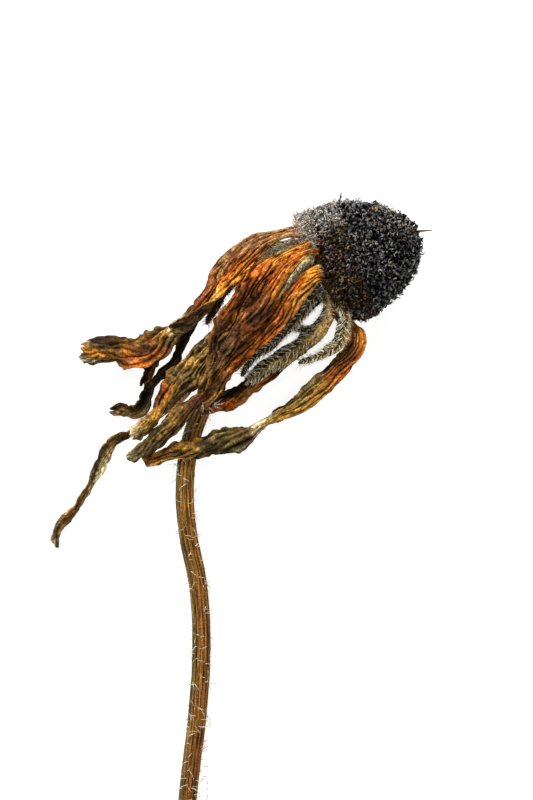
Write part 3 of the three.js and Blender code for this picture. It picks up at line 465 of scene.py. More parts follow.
# Stray stiff stalks: root, end, width and colour
WHISKERS = [
    ((15.4, 50.3, 9.4), (15.9, 52.85, 9.8), 0.55, DARK),
    ((26.6, 46.7, 10.5), (30.1, 46.85, 11.0), 0.6, UMBER * 1.4),
]
# Papery flakes: each one's parts and their width, the height of those beside the cone, and each
# flake's place seen from above and colour
FLAKE_PARTS = 7
FLAKE_WIDTH = 0.26
FLAKE_REST = 9.0
FLAKES = [
    ((20.9, 50.3), GOLD), ((23.0, 50.0), OCHRE), ((24.4, 49.6), GOLD), ((26.0, 48.0), CREAM),
    ((26.6, 47.2), TAN), ((21.2, 47.9), BRICK), ((16.4, 39.4), OCHRE), ((17.2, 38.6), KHAKI),
]

# Dry surfaces: roughness and specular level, how often creases and fibres come in each direction,
# the height of the relief in millimetres, and how much paler the painted highlight lines beside the creases
# are
MATERIALS = {
    "petal": (0.65, 0.1, (0.9, 0.25, 1.0), (5.5, 0.8, 1.0), 0.14, 1.9),
    "bract": (0.75, 0.1, (2.5, 0.6, 1.0), (5.0, 1.5, 1.0), 0.1, 1.3),
    "stem": (0.65, 0.08, (3.0, 0.08, 1.0), (9.0, 0.5, 1.0), 0.08, 1.6),
    "floret": (0.5, 0.06, (1.5, 1.5, 1.5), (3.0, 3.0, 3.0), 0.06, 1.0),
    "hair": (0.5, 0.3, (0.2, 0.2, 0.2), (2.0, 2.0, 2.0), 0.01, 1.0),
}
SPECK_SCALE = (4.0, 4.0, 4.0)

# The glowing surface: half its side in metres, its tone, its glow, and how far it lies below zero.
# Then the light of the surroundings, and of each lamp: place and size in metres, and power
FLOOR_REACH = 3.0
FLOOR_TONE = 0.3
FLOOR_GLOW = 0.88
FLOOR_DROP = 0.01
WORLD_STRENGTH = 0.42
KEY_LIGHT = ((-0.4, 0.5, 0.55), 0.3, 8.0)
FILL_LIGHT = ((0.6, -0.3, 0.5), 0.6, 1.5)

# Every random choice starts from this number
RANDOM_SEED = 20


def unit(vectors):
    """Vectors at length 1"""
    return vectors / np.maximum(np.linalg.norm(vectors, axis=-1, keepdims=True), 1e-9)


def smooth_step(low, high, value):
    """0 below low, 1 above high, and a smooth step between them"""
    share = np.clip((value - low) / (high - low), 0, 1)
    return share * share * (3 - 2 * share)


def mix(first, second, share):
    """A blend of two values or colours by a share from 0 to 1"""
    return first + (second - first) * share


def ramp(places, stops, column=1):
    """The value or colour at each place between stops, whose first entry is the place"""
    at = [stop[0] for stop in stops]
    values = np.array([stop[column] for stop in stops], float)
    if values.ndim == 1:
        return np.interp(places, at, values)
    return np.stack([np.interp(places, at, values[:, k]) for k in range(3)], axis=-1)


def lattice_value(cell, seed):
    """A repeatable number from -1 to 1 for each whole-number point"""
    mask = 0xFFFFFFFF
    h = cell[..., 0] * 374761393 + cell[..., 1] * 668265263 + cell[..., 2] * 2246822519
    h = (h + seed * 3266489917) & mask
    h = ((h ^ (h >> 13)) * 1274126177) & mask
    h = ((h ^ (h >> 15)) * 2654435761) & mask
    return ((h ^ (h >> 16)) & 0xFFFF) / 32767.5 - 1


def noise(points, seed=0):
    """Smooth noise from -1 to 1 with features one unit long"""
    cell = np.floor(points).astype(np.int64)
    part = points - cell
    part = part * part * (3 - 2 * part)
    total = np.zeros(points.shape[:-1])
    for corner in np.ndindex(2, 2, 2):
        step = np.array(corner)
        weight = np.prod(np.where(step == 1, part, 1 - part), axis=-1)
        total += weight * lattice_value(cell + step, seed)
    return total


def rough_noise(points, seed=0, octaves=3):
    """Noise with finer and fainter layers on top"""
    return sum(noise(points * 2.03 ** k, seed + 17 * k) * 0.5 ** k for k in range(octaves))


def noise_over(first, second, seed=0, octaves=1):
    """Noise over two measures, each of them an array or one number"""
    first, second = np.broadcast_arrays(first, second)
    return rough_noise(np.stack([first, second, np.zeros_like(first)], axis=-1), seed, octaves)


def smooth_curve(points, shares):
    """Points at shares of the spans of a Catmull-Rom curve, the same as in the solids"""
    points = np.asarray(points, float)
    spans = len(points) - 1
    ends = np.vstack([2 * points[0] - points[1], points, 2 * points[-1] - points[-2]])
    at = np.clip(shares, 0, 1) * spans
    i = np.minimum(at.astype(int), spans - 1)
    w = (at - i)[:, None]
    p0, p1, p2, p3 = ends[i], ends[i + 1], ends[i + 2], ends[i + 3]
    m1 = (p2 - p0) / 2
    m2 = (p3 - p1) / 2
    return (2 * p1 - 2 * p2 + m1 + m2) * w ** 3 + (3 * p2 - 3 * p1 - 2 * m1 - m2) * w ** 2 + m1 * w + p1


def travel(place):
    """The distance along a line of points from the first one to each"""
    return np.concatenate([[0], np.cumsum(np.linalg.norm(np.diff(place, axis=0), axis=1))])


def head_point(angles, radius, along):
    """Points of the head: out from its axis at angles in radians, and along it from its base plane"""
    angles, radius, along = [v[..., None] for v in np.broadcast_arrays(angles, radius, along)]
    out = HEAD_SIDE * np.cos(angles) + HEAD_UP * np.sin(angles)
    return HEAD_BASE + HEAD_AXIS * along + out * radius


def head_out(angles):
    """The ways straight out from the head's axis at angles in radians"""
    return head_point(angles, 1.0, 0.0) - HEAD_BASE


def cone_radius(along, inset):
    """The cone's radius at heights above its base plane, a distance inside its outline"""
    share = np.clip(along / (CONE_HEIGHT - inset), 0, 1)
    return (CONE_RADIUS - inset) * (1 - share * share) ** CONE_BULGE


def add_object(name, data):
    """A new object in the scene"""
    made = bpy.data.objects.new(name, data)
    bpy.context.scene.collection.objects.link(made)
    return made


class Skin:
    """The points, faces, colours and grain of one piece as they are gathered"""

    def __init__(self):
        self.points = []
        self.colours = []
        self.grain = []
        self.faces = []
        self.count = 0

    def add(self, points, faces, colours, grain=None):
        """Takes a surface in, with one colour for all of it or one for each point"""
        self.points.append(points.reshape(-1, 3))
        self.colours.append(np.broadcast_to(colours, points.shape).reshape(-1, 3))
        self.grain.append((points if grain is None else grain).reshape(-1, 3))
        self.faces.extend([[corner + self.count for corner in face] for face in faces])
        self.count += len(self.points[-1])

    def piece(self, name, material, nodes):
        """The finished Blender piece, in metres, in place of the CAD nodes that it stands for"""
        points = np.vstack(self.points)
        points[:, 2] = np.maximum(points[:, 2], 0)
        mesh = bpy.data.meshes.new(name)
        mesh.from_pydata((points * MM).tolist(), [], self.faces)
        tint = mesh.attributes.new("tint", "FLOAT_COLOR", "POINT")
        rgba = np.ones((self.count, 4), np.float32)
        rgba[:, :3] = np.clip(np.vstack(self.colours), 0, 1)
        tint.data.foreach_set("color", rgba.ravel())
        grain = mesh.attributes.new("grain", "FLOAT_VECTOR", "POINT")
        grain.data.foreach_set("vector", np.vstack(self.grain).astype(np.float32).ravel())
        mesh.polygons.foreach_set("use_smooth", np.ones(len(mesh.polygons), bool))
        mesh.materials.append(material)
        mesh.update()
        obj = add_object(name, mesh)
        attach(obj, BODY)
        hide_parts(*nodes)


def grid_faces(rows, columns):
    """Four-sided faces over rows of points, closed round each row"""
    across = np.arange(columns)
    after = (across + 1) % columns
    start = (np.arange(rows - 1) * columns)[:, None]
    corners = [start + across, start + after, start + columns + after, start + columns + across]
    return np.stack(corners, axis=-1).reshape(-1, 4)


def add_closed(skin, loops, colours, grain=None):
    """A surface through loops of points, with one face over the first loop and one over the last"""
    rows, sides = loops.shape[:2]
    ends = [list(range(sides))[::-1], list(range((rows - 1) * sides, rows * sides))]
    skin.add(loops, grid_faces(rows, sides).tolist() + ends, colours, grain)


def add_tubes(skin, rings, colours):
    """Closed tubes from an array of tubes, rings, sides and coordinates, each end closed by one face"""
    tubes, count, sides, _ = rings.shape
    starts = (np.arange(tubes) * count * sides)[:, None]
    walls = (grid_faces(count, sides)[None] + starts[..., None]).reshape(-1, 4)
    low = np.arange(sides)[::-1] + starts
    high = np.arange(sides) + starts + (count - 1) * sides
    skin.add(rings, walls.tolist() + low.tolist() + high.tolist(), colours)


def across_frame(axes):
    """Two directions square to each axis and to each other"""
    helper = np.where(np.abs(axes[..., 2:3]) > 0.8, np.array([1.0, 0, 0]), UP)
    side = unit(np.cross(axes, helper))
    return side, np.cross(axes, side)


def add_hairs(skin, roots, ways, bends, lengths, width, colours, turn=1.0, steps=3):
    """Tapering three-sided hairs that leave their roots along ways and turn by an angle towards bends"""
    count = len(roots)
    share = np.linspace(0, 1, steps + 1)[None, :, None]
    ways = unit(ways)
    bends = unit(bends - ways * np.sum(bends * ways, axis=1, keepdims=True))
    turn = np.broadcast_to(turn, count)[:, None, None]
    lengths = lengths[:, None, None]
    forward = ways[:, None] * np.sin(turn * share) / turn
    sideways = bends[:, None] * (1 - np.cos(turn * share)) / turn
    spine = roots[:, None] + (forward + sideways) * lengths
    out = np.cross(ways, bends)
    inward = -ways[:, None] * np.sin(turn * share) + bends[:, None] * np.cos(turn * share)
    angles = (np.arange(3) * 2 * math.pi / 3)[None, None, :, None]
    ring = out[:, None, None] * np.cos(angles) + inward[:, :, None] * np.sin(angles)
    radius = np.broadcast_to(width, count)[:, None, None, None] / 2 * (1 - 0.7 * share[..., None])
    add_tubes(skin, spine[:, :, None] + ring * radius, colours[:, None, None])


def blade_frames(start, path, per_span):
    """The frames along a blade's midline, as in the solids"""
    rows = np.array(path, float)
    points = np.vstack([start, rows[:, :3]])
    shapes = np.vstack([rows[:1, 3:], rows[:, 3:]])
    shares = np.linspace(0, 1, (len(points) - 1) * per_span + 1)
    place = smooth_curve(points, shares)
    shape = smooth_curve(shapes, shares)
    along = unit(np.gradient(place, axis=0))
    level = unit(np.cross(along, UP))
    roll = np.radians(shape[:, 1:])
    side = level * np.cos(roll) + np.cross(along, level) * np.sin(roll)
    return Frames(place, along, side, np.cross(side, along), shape[:, 0], travel(place))


def marks(across, s, kind, seed):
    """Noise over a blade's face for one kind of mark"""
    size_across, size_along, own = kind
    return noise_over(across / size_across, s / size_along, seed + own, 2)


def creases(x, s, kind, seed):
    """Rounded folds from 0 to 1 between sharp creases that wander over a blade's face"""
    return np.clip(1.7 * np.abs(marks(x, s, kind, seed)), 0, 1)


def above_ground(points):
    """Points that come close to the surface or under it are eased onto it"""
    z = points[..., 2]
    eased = NEAR_GROUND * np.exp(np.minimum(z - NEAR_GROUND, 0) / NEAR_GROUND)
    points[..., 2] = np.where(z < NEAR_GROUND, eased, z)
    return points


def blade_widths(a, s, t, frames, look, rough, seed):
    """A blade's width all over, with its blunt end, swellings, ragged edges, spread tip and bites"""
    length = frames.travelled[-1]
    own = np.sign(a) * 9 + seed
    edge = 0.8 * noise_over(s / 5.0, own, seed) + 0.4 * noise_over(s / 1.1, own, seed + 11, 3)
    swell = 1 + 0.8 * rough * noise_over(s / 4.0, seed, seed + 12)
    blunt = np.sqrt(np.clip((length - s) / 0.9, 0.02, 1))
    w = frames.width[:, None] * blunt * swell * (1 + (look["ragged"] + rough) * edge * a * a)
    w = w * (1 + look["spread"] * smooth_step(length - 3.5, length - 0.8, s))
    for spot, half_length, way, depth in look["bites"]:
        near = np.exp(-((t - spot) / half_length) ** 2)
        w = w * (1 - depth * near * smooth_step(0.1, 1.0, way * a))
    return w


def blade_relief(a, s, w, t, rough, ridges, folds, seed):
    """How high each point of a blade lies over its plain form, and the same from 0 to 1 for its colour"""
    x = a * w / 2
    wobble = 0.9 * noise_over(s / 9.0, seed, seed + 1) + 0.85 * marks(a * 1.5, s, FOLD_SWAY, seed)
    phase = (a + 1) / 2 * ridges + wobble + 0.12 * t * t * s
    ridge = np.abs(np.sin(math.pi * phase)) ** 0.8
    peak = np.exp(-((phase % 1 - 0.5) / 0.08) ** 2)
    peak = peak * smooth_step(-0.35, 0.35, marks(x, s, CREST_BREAKS, seed))
    wrinkle, crackle, crush = [creases(x, s, kind, seed) for kind in (WRINKLES, CRACKLES, CRUSHES)]
    speck = marks(x, s, SPECKS, seed)
    strength = smooth_step(-0.7, 0.5, marks(a * 1.6, s, EVENNESS, seed))
    depth = np.minimum(0.6 * w / ridges, 0.5)
    lift = RIDGE_SHARE * w * np.cos(math.pi * folds * a)
    lift = lift + EDGE_WAVE * a * np.sin(2 * math.pi * s / EDGE_WAVE_LENGTH)
    lift = lift + depth * (ridge - 0.5) + strength * (0.2 * (wrinkle - 0.4) + 0.08 * (crackle - 0.4))
    lift = lift + rough * (1.5 * (crush - 0.4) + 0.8 * marks(x, s, LUMPS, seed))
    smooth_part = 0.55 * ridge + 0.45 * mix(0.5, 0.6 * wrinkle + 0.4 * crackle, strength)
    crushed_part = 0.3 * ridge + 0.2 * wrinkle + 0.15 * crackle + 0.35 * crush
    high = mix(smooth_part, crushed_part, np.clip(3 * rough, 0, 1))
    return lift + 0.05 * peak, smooth_step(0.1, 0.85, high + 0.12 * speck), peak, speck


def blade_colours(a, s, t, high, peak, speck, tones, seed):
    """The tones along and across a blade with fibrous flanks, darkened in its creases by painted shade and
    lit along its crests by painted highlight lines
    """
    patch = marks(a * 1.5, s, PATCHES, seed)
    across = smooth_step(-0.8, 0.8, a + 0.6 * marks(a * 1.1, s, TONE_EDGE, seed))[..., None]
    crest = mix(ramp(t, tones, 2), ramp(t, tones, 1), across)
    valley = ramp(t, tones, 3)
    crest = mix(crest, OCHRE, 0.35 * smooth_step(0.2, 0.8, patch)[..., None])
    crest = mix(crest, valley, 0.6 * smooth_step(0.1, 0.6, -patch)[..., None])
    # Partly the blade's own darker and paler tones, partly painted shade: the colour sinks to the valley
    # tone and dims in the creases, and brightens on the crests
    colours = mix(valley, crest, smooth_step(0.08, 0.6, high)[..., None])
    colours = colours * mix(0.32, 1.22, high)[..., None]
    # Painted highlights: a broad pale sheen over the highest crests and thin pale lines along their peaks
    broad_crest_highlight = smooth_step(0.78, 1.0, high) * smooth_step(-0.3, 0.4, patch + 0.6 * speck)
    colours = mix(colours, crest * 1.4 + 0.04 * CREAM, 0.4 * broad_crest_highlight[..., None])
    colours = mix(colours, crest * 1.5 + 0.16 * CREAM, 0.95 * peak[..., None])
    # Edges darkened: partly the blade's own darker margin, partly painted shade
    edge = 1 - 0.45 * smooth_step(0.8, 1.0, np.abs(a))
    return colours * ((1 + 0.4 * speck) * edge)[..., None]


def blade_surface(frames, across, ridges, folds, look, seed, tones):
    """Both faces of a wrinkled blade and their colours"""
    a = across[None, :]
    s = frames.travelled[:, None]
    length = frames.travelled[-1]
    t = s / length
    rough = ramp(t, look["crumple"])
    w = blade_widths(a, s, t, frames, look, rough, seed)
    bend = ramp(t, look["curl"])
    reach = np.sin(np.minimum(bend, math.pi / 2))
    lift, high, peak, speck = blade_relief(a, s, w, t, rough, ridges, folds, seed)
    drift = rough * 0.8 * noise_over(s / 5.0, seed, seed + 13)
    slide = np.zeros_like(w)
    for spot, half_width, depth in look["notches"]:
        reached = smooth_step(length - 2.0 - 1.6 * depth, length, s)
        slide = slide - depth * reached * np.exp(-((a - spot) / half_width) ** 2)
    half = look["thickness"] / 2 * np.sqrt(np.clip(1.05 - a ** 4, 0, 1))
    layers = []
    for way in (1, -1):
        off_x = w / 2 * np.sin(a * bend) / reach + np.sin(a * bend) * (lift + way * half) + drift
        off_z = w / 2 * (np.cos(a * bend) - 1) / reach + np.cos(a * bend) * (lift + way * half)
        points = frames.place[:, None] + frames.side[:, None] * off_x[..., None]
        points = points + frames.face[:, None] * off_z[..., None]
        layers.append(above_ground(points + frames.along[:, None] * slide[..., None]))
    top = blade_colours(a, s, t, high, peak, speck, tones, seed)
    top = mix(top, SOOT, 0.8 * np.clip(-slide / 1.5, 0, 1)[..., None])
    return layers, top, mix(top, MOSS, 0.3)


def add_blade(skin, frames, across, layers, top, under, own):
    """The closed skin of a blade from its two faces, whose grain has a number of its own"""
    rows, columns = layers[0].shape[:2]
    loop = 2 * columns
    x = across * frames.width[:, None] / 2
    fibre = np.stack(np.broadcast_arrays(x, frames.travelled[:, None], own * 3.7), axis=-1)
    faces = grid_faces(rows, loop).tolist()
    for first in (0, (rows - 1) * loop):
        for k in range(columns - 1):
            quad = [first + k, first + k + 1, first + loop - 2 - k, first + loop - 1 - k]
            faces.append(quad if first else quad[::-1])
    sheets = [(layers[0], layers[1]), (top, under), (fibre, fibre)]
    points, colours, grain = [np.concatenate([front, back[:, ::-1]], axis=1) for front, back in sheets]
    skin.add(points, faces, colours, grain)


def petal_piece(name, entry, order, material):
    """One dried petal: ridged lengthwise, curling and crumpling towards its tip"""
    seat, folds, ridges, path, tones = entry
    start = head_point(math.radians(seat), RAY_RING[0] - BLADE_SUNK, RAY_RING[1])
    blades = [(start, path, tones, 20 * order, order)]
    if name in LOBES:
        path, tones = LOBES[name]
        blades.append((path[0], path[1:], tones, 20 * order + 7, 30 + order))
    look = {**PETAL_LOOK, **OWN_LOOK.get(name, {})}
    across = np.linspace(-1, 1, PETAL_COLUMNS)
    skin = Skin()
    for start, path, tones, seed, own in blades:
        frames = blade_frames(start, path, PETAL_STATIONS)
        surface = blade_surface(frames, across, ridges, folds, look, seed, tones)
        add_blade(skin, frames, across, *surface, own)
    skin.piece(name + "_petal", material, [name])


def add_bristles(skin, frames, layers, bare, rng):
    """White bristles in slanting rows on both sides of a bract's midrib, over its face, edges and back"""
    columns = layers[0].shape[1]
    spots = np.arange(BRISTLE_MARGIN, frames.travelled[-1] - BRISTLE_MARGIN, BRISTLE_SPACING)
    shape = (len(spots), 2, len(BRISTLE_ROWS))
    s = (spots[:, None, None] + rng.uniform(-0.3, 0.3, shape)).ravel()
    count = len(s)
    wing = np.broadcast_to(np.array([-1.0, 1.0])[None, :, None], shape).ravel()
    spread, turn = [np.broadcast_to(row, shape).ravel() for row in zip(*BRISTLE_ROWS)]
    spread = np.clip(spread + rng.uniform(-0.15, 0.15, count), 0.05, 1.0)
    rows = np.clip(np.searchsorted(frames.travelled, s), 1, len(frames.place) - 2)
    column = ((wing * spread + 1) / 2 * (columns - 1)).round().astype(int)
    roots = np.where((turn > 0)[:, None], layers[0][rows, column], layers[1][rows, column])
    ways = frames.along[rows] * rng.uniform(0.3, 0.9, count)[:, None]
    ways = ways + frames.side[rows] * (wing * rng.uniform(0.6, 1.0, count))[:, None]
    ways = ways + frames.face[rows] * (turn * rng.uniform(0.08, 0.35, count))[:, None]
    bends = frames.along[rows] + 0.8 * rng.normal(size=(count, 3))
    lengths = rng.uniform(0.75, 1.25, count) * (0.45 + 0.95 * (1 - spread))
    lengths = lengths * (1 - bare[rows, column] * (turn > 0) * (spread < EDGE_BRISTLES))
    shade = mix(HAIR, PALE, rng.uniform(0, 1, (count, 1))) * rng.uniform(0.8, 1.3, (count, 1))
    add_hairs(skin, roots, ways, bends, lengths, BRISTLE_WIDTH, shade, rng.uniform(0.2, 0.9, count))


def bract_colours(top, frames, across, band, bare, shade, seed):
    """The pale band laid over a bract's face, and dark slanting strips between its rows of bristles"""
    bright = top.max(axis=2, keepdims=True) / top.max()
    top = mix(top, shade * mix(0.75, 1.15, bright), band[..., None])
    slant = frames.travelled[:, None] + SHADOW_SLANT * np.abs(across) * frames.width[:, None]
    slant = slant + 0.12 * noise_over(slant / 1.5, across * 2, seed)
    shadow = smooth_step(0.1, 0.9, 0.5 + 0.5 * np.sin(2 * math.pi * slant / SHADOW_SPACING))
    shadow = shadow * smooth_step(0.05, 0.3, np.abs(across)) * (1 - bare)
    return top * (1 - SHADOW_DEPTH * shadow)[..., None]


def bract_piece(name, entry, order, material, hair_material, rng):
    """One narrow bract with a raised midrib, and the white bristles on it as a piece of their own"""
    seat, path, tones = entry
    start = head_point(math.radians(seat), BRACT_RING[0] - BLADE_SUNK, BRACT_RING[1])
    frames = blade_frames(start, path, BRACT_STATIONS)
    across = np.linspace(-1, 1, BRACT_COLUMNS)
    look = {**BRACT_LOOK, **OWN_LOOK.get(name, {})}
    layers, top, under = blade_surface(frames, across, BRACT_RIDGES, 0, look, 500 + 20 * order, tones)
    rib = np.exp(-(across / RIB_WIDTH) ** 2)[None, :, None]
    layers[0] = layers[0] + frames.face[:, None] * rib * RIB_HEIGHT
    shade, middle, half_width, strength, share = MIDRIBS.get(name, PLAIN_MIDRIB)
    band = np.exp(-np.abs((across - middle) / half_width) ** 3)[None, :]
    band = band * ramp(frames.travelled / frames.travelled[-1], strength)[:, None]
    bare = share * band
    top = bract_colours(top, frames, across, band, bare, shade, 700 + order)
    skin = Skin()
    add_blade(skin, frames, across, layers, top, under, 40 + order)
    hair_skin = Skin()
    add_bristles(hair_skin, frames, layers, bare, rng)
    skin.piece(name + "_blade", material, [name])
    hair_skin.piece(name + "_bristles", hair_material, [])


def stem_frames(rings):
    """The stem and receptacle as one midline with a radius, and directions along and across it"""
    axis_part = [head_point(0.0, 0.0, along) for along, _ in RECEPTACLE_PROFILE[1:]]
    path = np.vstack([np.array(STEM_PATH)[::-1], axis_part])
    shares = np.linspace(0, 1, 2000)
    steps = travel(smooth_curve(path, shares))
    travelled = np.linspace(0, steps[-1], rings)
    place = smooth_curve(path, np.interp(travelled, steps, shares))
    along = unit(np.gradient(place, axis=0))
    side = unit(np.cross(along, UP))
    height = (place - HEAD_BASE) @ HEAD_AXIS
    on_axis = np.linalg.norm(place - HEAD_BASE - height[:, None] * HEAD_AXIS, axis=1) < 1.2
    radius = np.where(on_axis, np.interp(height, *zip(*RECEPTACLE_PROFILE)), STEM_RADIUS)
    return place, along, side, np.cross(side, along), radius, travelled


def stem_colours(angle, s, length, crest, fine, lumps, speck):
    """Tan ridge lines over brown grooves, darker towards the cut end, and olive and darker on the left
    flank, partly the stem's own olive tone and partly painted shade on that side
    """
    # The left flank: partly own olive tone, partly painted shade
    left = smooth_step(0.2, 0.75, -np.cos(angle))[..., None]
    low = smooth_step(0.75, 0.1, s / length)[..., None]
    high = smooth_step(0.1, 0.9, 0.5 * crest + 0.4 * fine + 0.25 * speck)[..., None]
    ridge = mix(STEM_TAN, STEM_BROWN, np.clip(low + 0.5 * lumps[..., None], 0, 1))
    groove = mix(GROOVE_BROWN, GROOVE_DARK, low)
    ridge = mix(ridge, STEM_OLIVE, 0.75 * left)
    groove = mix(groove, GROOVE_OLIVE, 0.7 * left)
    return mix(groove, ridge, high) * (1 + 0.3 * speck)[..., None]


def cut_end(place, ring):
    """The rings of the stem's cut end from its middle outwards, and their colours"""
    inward = unit(place[1] - place[0])
    rings = [place[0] + (ring - place[0]) * share + inward * depth for share, depth, _ in CUT_END]
    colours = [np.broadcast_to(colour, ring.shape) for _, _, colour in CUT_END]
    return np.array(rings), np.array(colours)


def stem_piece(material):
    """The ribbed stem that swells into the receptacle, with a cut end"""
    place, _, side, face, radius, travelled = stem_frames(STEM_RINGS)
    angle = np.arange(STEM_SIDES)[None, :] * 2 * math.pi / STEM_SIDES
    s = travelled[:, None]
    phase = angle / (2 * math.pi) * STEM_RIBS + 0.35 * noise_over(s / 22, 0.0, 81)
    crest = np.abs(np.sin(math.pi * phase))
    fine = np.abs(np.sin(math.pi * (phase * 2 + 0.25 + 0.4 * noise_over(s / 6, np.cos(angle), 82))))
    around = np.stack(np.broadcast_arrays(np.cos(angle) * 2.5, np.sin(angle) * 2.5, s / 2.5), axis=-1)
    lumps = rough_noise(around, 83)
    r = radius[:, None]
    height = 0.16 * (crest - 0.75) + 0.06 * (fine - 0.5) + 0.035 * lumps
    r = r + height * np.minimum(r / STEM_RADIUS, 1.6)
    out = side[:, None] * np.cos(angle)[..., None] + face[:, None] * np.sin(angle)[..., None]
    points = place[:, None] + out * r[..., None]
    points[..., 2] = np.maximum(points[..., 2], 0.0)
    speck = rough_noise(around * np.array([2.2, 2.2, 1.0]), 84)
    colours = stem_colours(angle, s, travelled[-1], crest, fine, lumps, speck)
    swollen = smooth_step(2.0, 4.5, radius)[:, None, None]
    colours = mix(colours, MOSS * (0.7 + 0.5 * speck)[..., None], 0.85 * swollen)
    grain = np.stack(np.broadcast_arrays(angle * STEM_RADIUS, s, 0.0), axis=-1)
    end, end_colours = cut_end(place, points[0])
    skin = Skin()
    parts = [(end, points), (end_colours, colours), (end, grain)]
    add_closed(skin, *[np.concatenate(part) for part in parts])
    skin.piece("stem", material, ["stem_and_receptacle"])


def add_tufts(skin, rng):
    """The loose tufts of hair on the petals and the stem"""
    for place, way, size, number, colour in TUFTS:
        places = np.array(place) + rng.normal(size=(number, 3)) * np.array([0.8, 0.8, 0.2])
        ways = np.array(way) + rng.normal(size=(number, 3)) * np.array([0.5, 0.5, 0.3])
        shades = colour * rng.uniform(0.7, 1.0, (number, 1))
        bends = rng.normal(size=(number, 3))
        lengths = size * rng.uniform(0.7, 1.2, number)
        turn = rng.uniform(0.3, 1.2, number)
        add_hairs(skin, places, ways, bends, lengths, BRISTLE_WIDTH, shades, turn, steps=5)


def stem_bristles_piece(material, rng):
    """Bent white hairs in pairs along the stem, many of them lying across it, and the loose tufts"""
    place, along, side, face, radius, travelled = stem_frames(500)
    weight = np.where(radius < 2.0, 1.0, 0.0) * mix(1.7, 0.5, travelled / travelled[-1])
    rows = np.repeat(rng.choice(len(place), STEM_HAIR_PAIRS, p=weight / weight.sum()), 2)
    count = len(rows)
    rows = np.clip(rows + rng.integers(-3, 4, count), 0, len(place) - 1)
    angle = np.repeat(rng.uniform(0, 2 * math.pi, STEM_HAIR_PAIRS), 2) + rng.normal(size=count) * 0.5
    out = side[rows] * np.cos(angle)[:, None] + face[rows] * np.sin(angle)[:, None]
    around = face[rows] * np.cos(angle)[:, None] - side[rows] * np.sin(angle)[:, None]
    roots = place[rows] + out * (radius[rows, None] - 0.05)
    turned = rng.choice([-1.0, 1.0], count)[:, None]
    ways = out * rng.uniform(0.25, 0.9, count)[:, None] + around * turned
    ways = ways + along[rows] * rng.uniform(-0.6, 0.6, count)[:, None]
    bends = along[rows] * rng.choice([-1.0, 1.0], count)[:, None] - out * 0.5
    lengths = rng.uniform(0.8, 2.2, count)
    shade = mix(HAIR, CREAM, rng.uniform(0.2, 1, (count, 1))) * rng.uniform(0.8, 1.1, (count, 1))
    turn = rng.uniform(0.3, 1.6, count)
    skin = Skin()
    add_hairs(skin, roots, ways, bends, lengths, STEM_HAIR_WIDTH, shade, turn, steps=5)
    add_tufts(skin, rng)
    skin.piece("stem_bristles", material, [])


def cone_spots(count, inset):
    """Evenly spread places on the cone in a golden-angle spiral: height, place and outward way"""
    height = CONE_HEIGHT - inset
    s = np.linspace(0, height * 0.999, 600)
    r = cone_radius(s, inset)
    step = np.hypot(np.diff(s), np.diff(r))
    area = np.concatenate([[0], np.cumsum(step * (r[1:] + r[:-1]) / 2)])
    shares = (np.arange(count) + 0.5) / count
    along = np.interp(shares * area[-1], area, s)
    angle = np.arange(count) * math.pi * (3 - math.sqrt(5))
    fall = cone_radius(np.maximum(along - 0.2, 0), inset) - cone_radius(along + 0.2, inset)
    slope = np.arctan2(fall, np.full(count, 0.4))
    normal = head_out(angle) * np.cos(slope)[:, None] + HEAD_AXIS * np.sin(slope)[:, None]
    return along, head_point(angle, cone_radius(along, inset), along), normal


def add_florets(skin, roots, axes, lengths, widths, shafts, heads, lit_rims, rng):
    """Small dry tubes that widen to a mouth, with a painted highlight on one side of the rim and painted
    shade on the other side, inside the mouth and down towards the root
    """
    count = len(roots)
    rise, girth, stand, lift = [column[None, :, None] for column in FLORET_PROFILE.T]
    shape = (count, len(FLORET_PROFILE), FLORET_SIDES)
    turns = np.arange(FLORET_SIDES) * 2 * math.pi / FLORET_SIDES
    teeth = np.where(np.arange(FLORET_SIDES) % 2, 1.0, -1.0)
    side, face = across_frame(axes)
    angles = rng.uniform(0, 2 * math.pi, count)[:, None] + turns
    around = side[:, None] * np.cos(angles)[..., None] + face[:, None] * np.sin(angles)[..., None]
    radius = girth * (1 + stand * teeth) * widths[:, None, None] / 2 * rng.uniform(0.7, 1.3, shape)
    climb = (rise + lift * teeth + rng.uniform(-0.06, 0.06, shape)) * lengths[:, None, None]
    sway = unit(rng.normal(size=(count, 3)))[:, None, None] * (rise ** 2)[..., None] * 0.25
    rings = roots[:, None, None] + axes[:, None, None] * climb[..., None]
    rings = rings + around[:, None] * radius[..., None] + sway * lengths[:, None, None, None]
    # Painted shade: the colour darkens from the head down to the root, between the packed florets
    share = smooth_step(0.35, 0.9, rise)[..., None]
    colours = mix(shafts[:, None, None], heads[:, None, None], share)
    colours = np.broadcast_to(colours, rings.shape).copy()
    # Painted highlight on one side of the rim; painted shade on the other side and inside the mouth
    lit = np.cos(turns + rng.uniform(0, 2 * math.pi, (count, 1)))[..., None] > 0
    colours[:, 3] = np.where(lit, lit_rims[:, None], 0.5 * heads[:, None])
    colours[:, 4] = 0.1 * heads[:, None]
    add_tubes(skin, rings, colours)


def add_core(skin):
    """The rough core under the cone's florets, painted near black: its own dark tone deepened by painted
    shade where it shows in the gaps between them
    """
    rows, columns = 44, 72
    along = (CONE_HEIGHT - CORE_INSET) * np.sin(np.linspace(0, 1, rows) * math.pi / 2)
    angle = np.arange(columns) * 2 * math.pi / columns
    core = head_point(angle[None], cone_radius(along, CORE_INSET)[:, None], along[:, None])
    core = core + unit(core - HEAD_BASE) * (0.25 * rough_noise(core / 0.8, 91))[..., None]
    # Near black: partly own tone, partly painted shade in the gaps between florets
    add_closed(skin, core, CHARCOAL * 0.15)


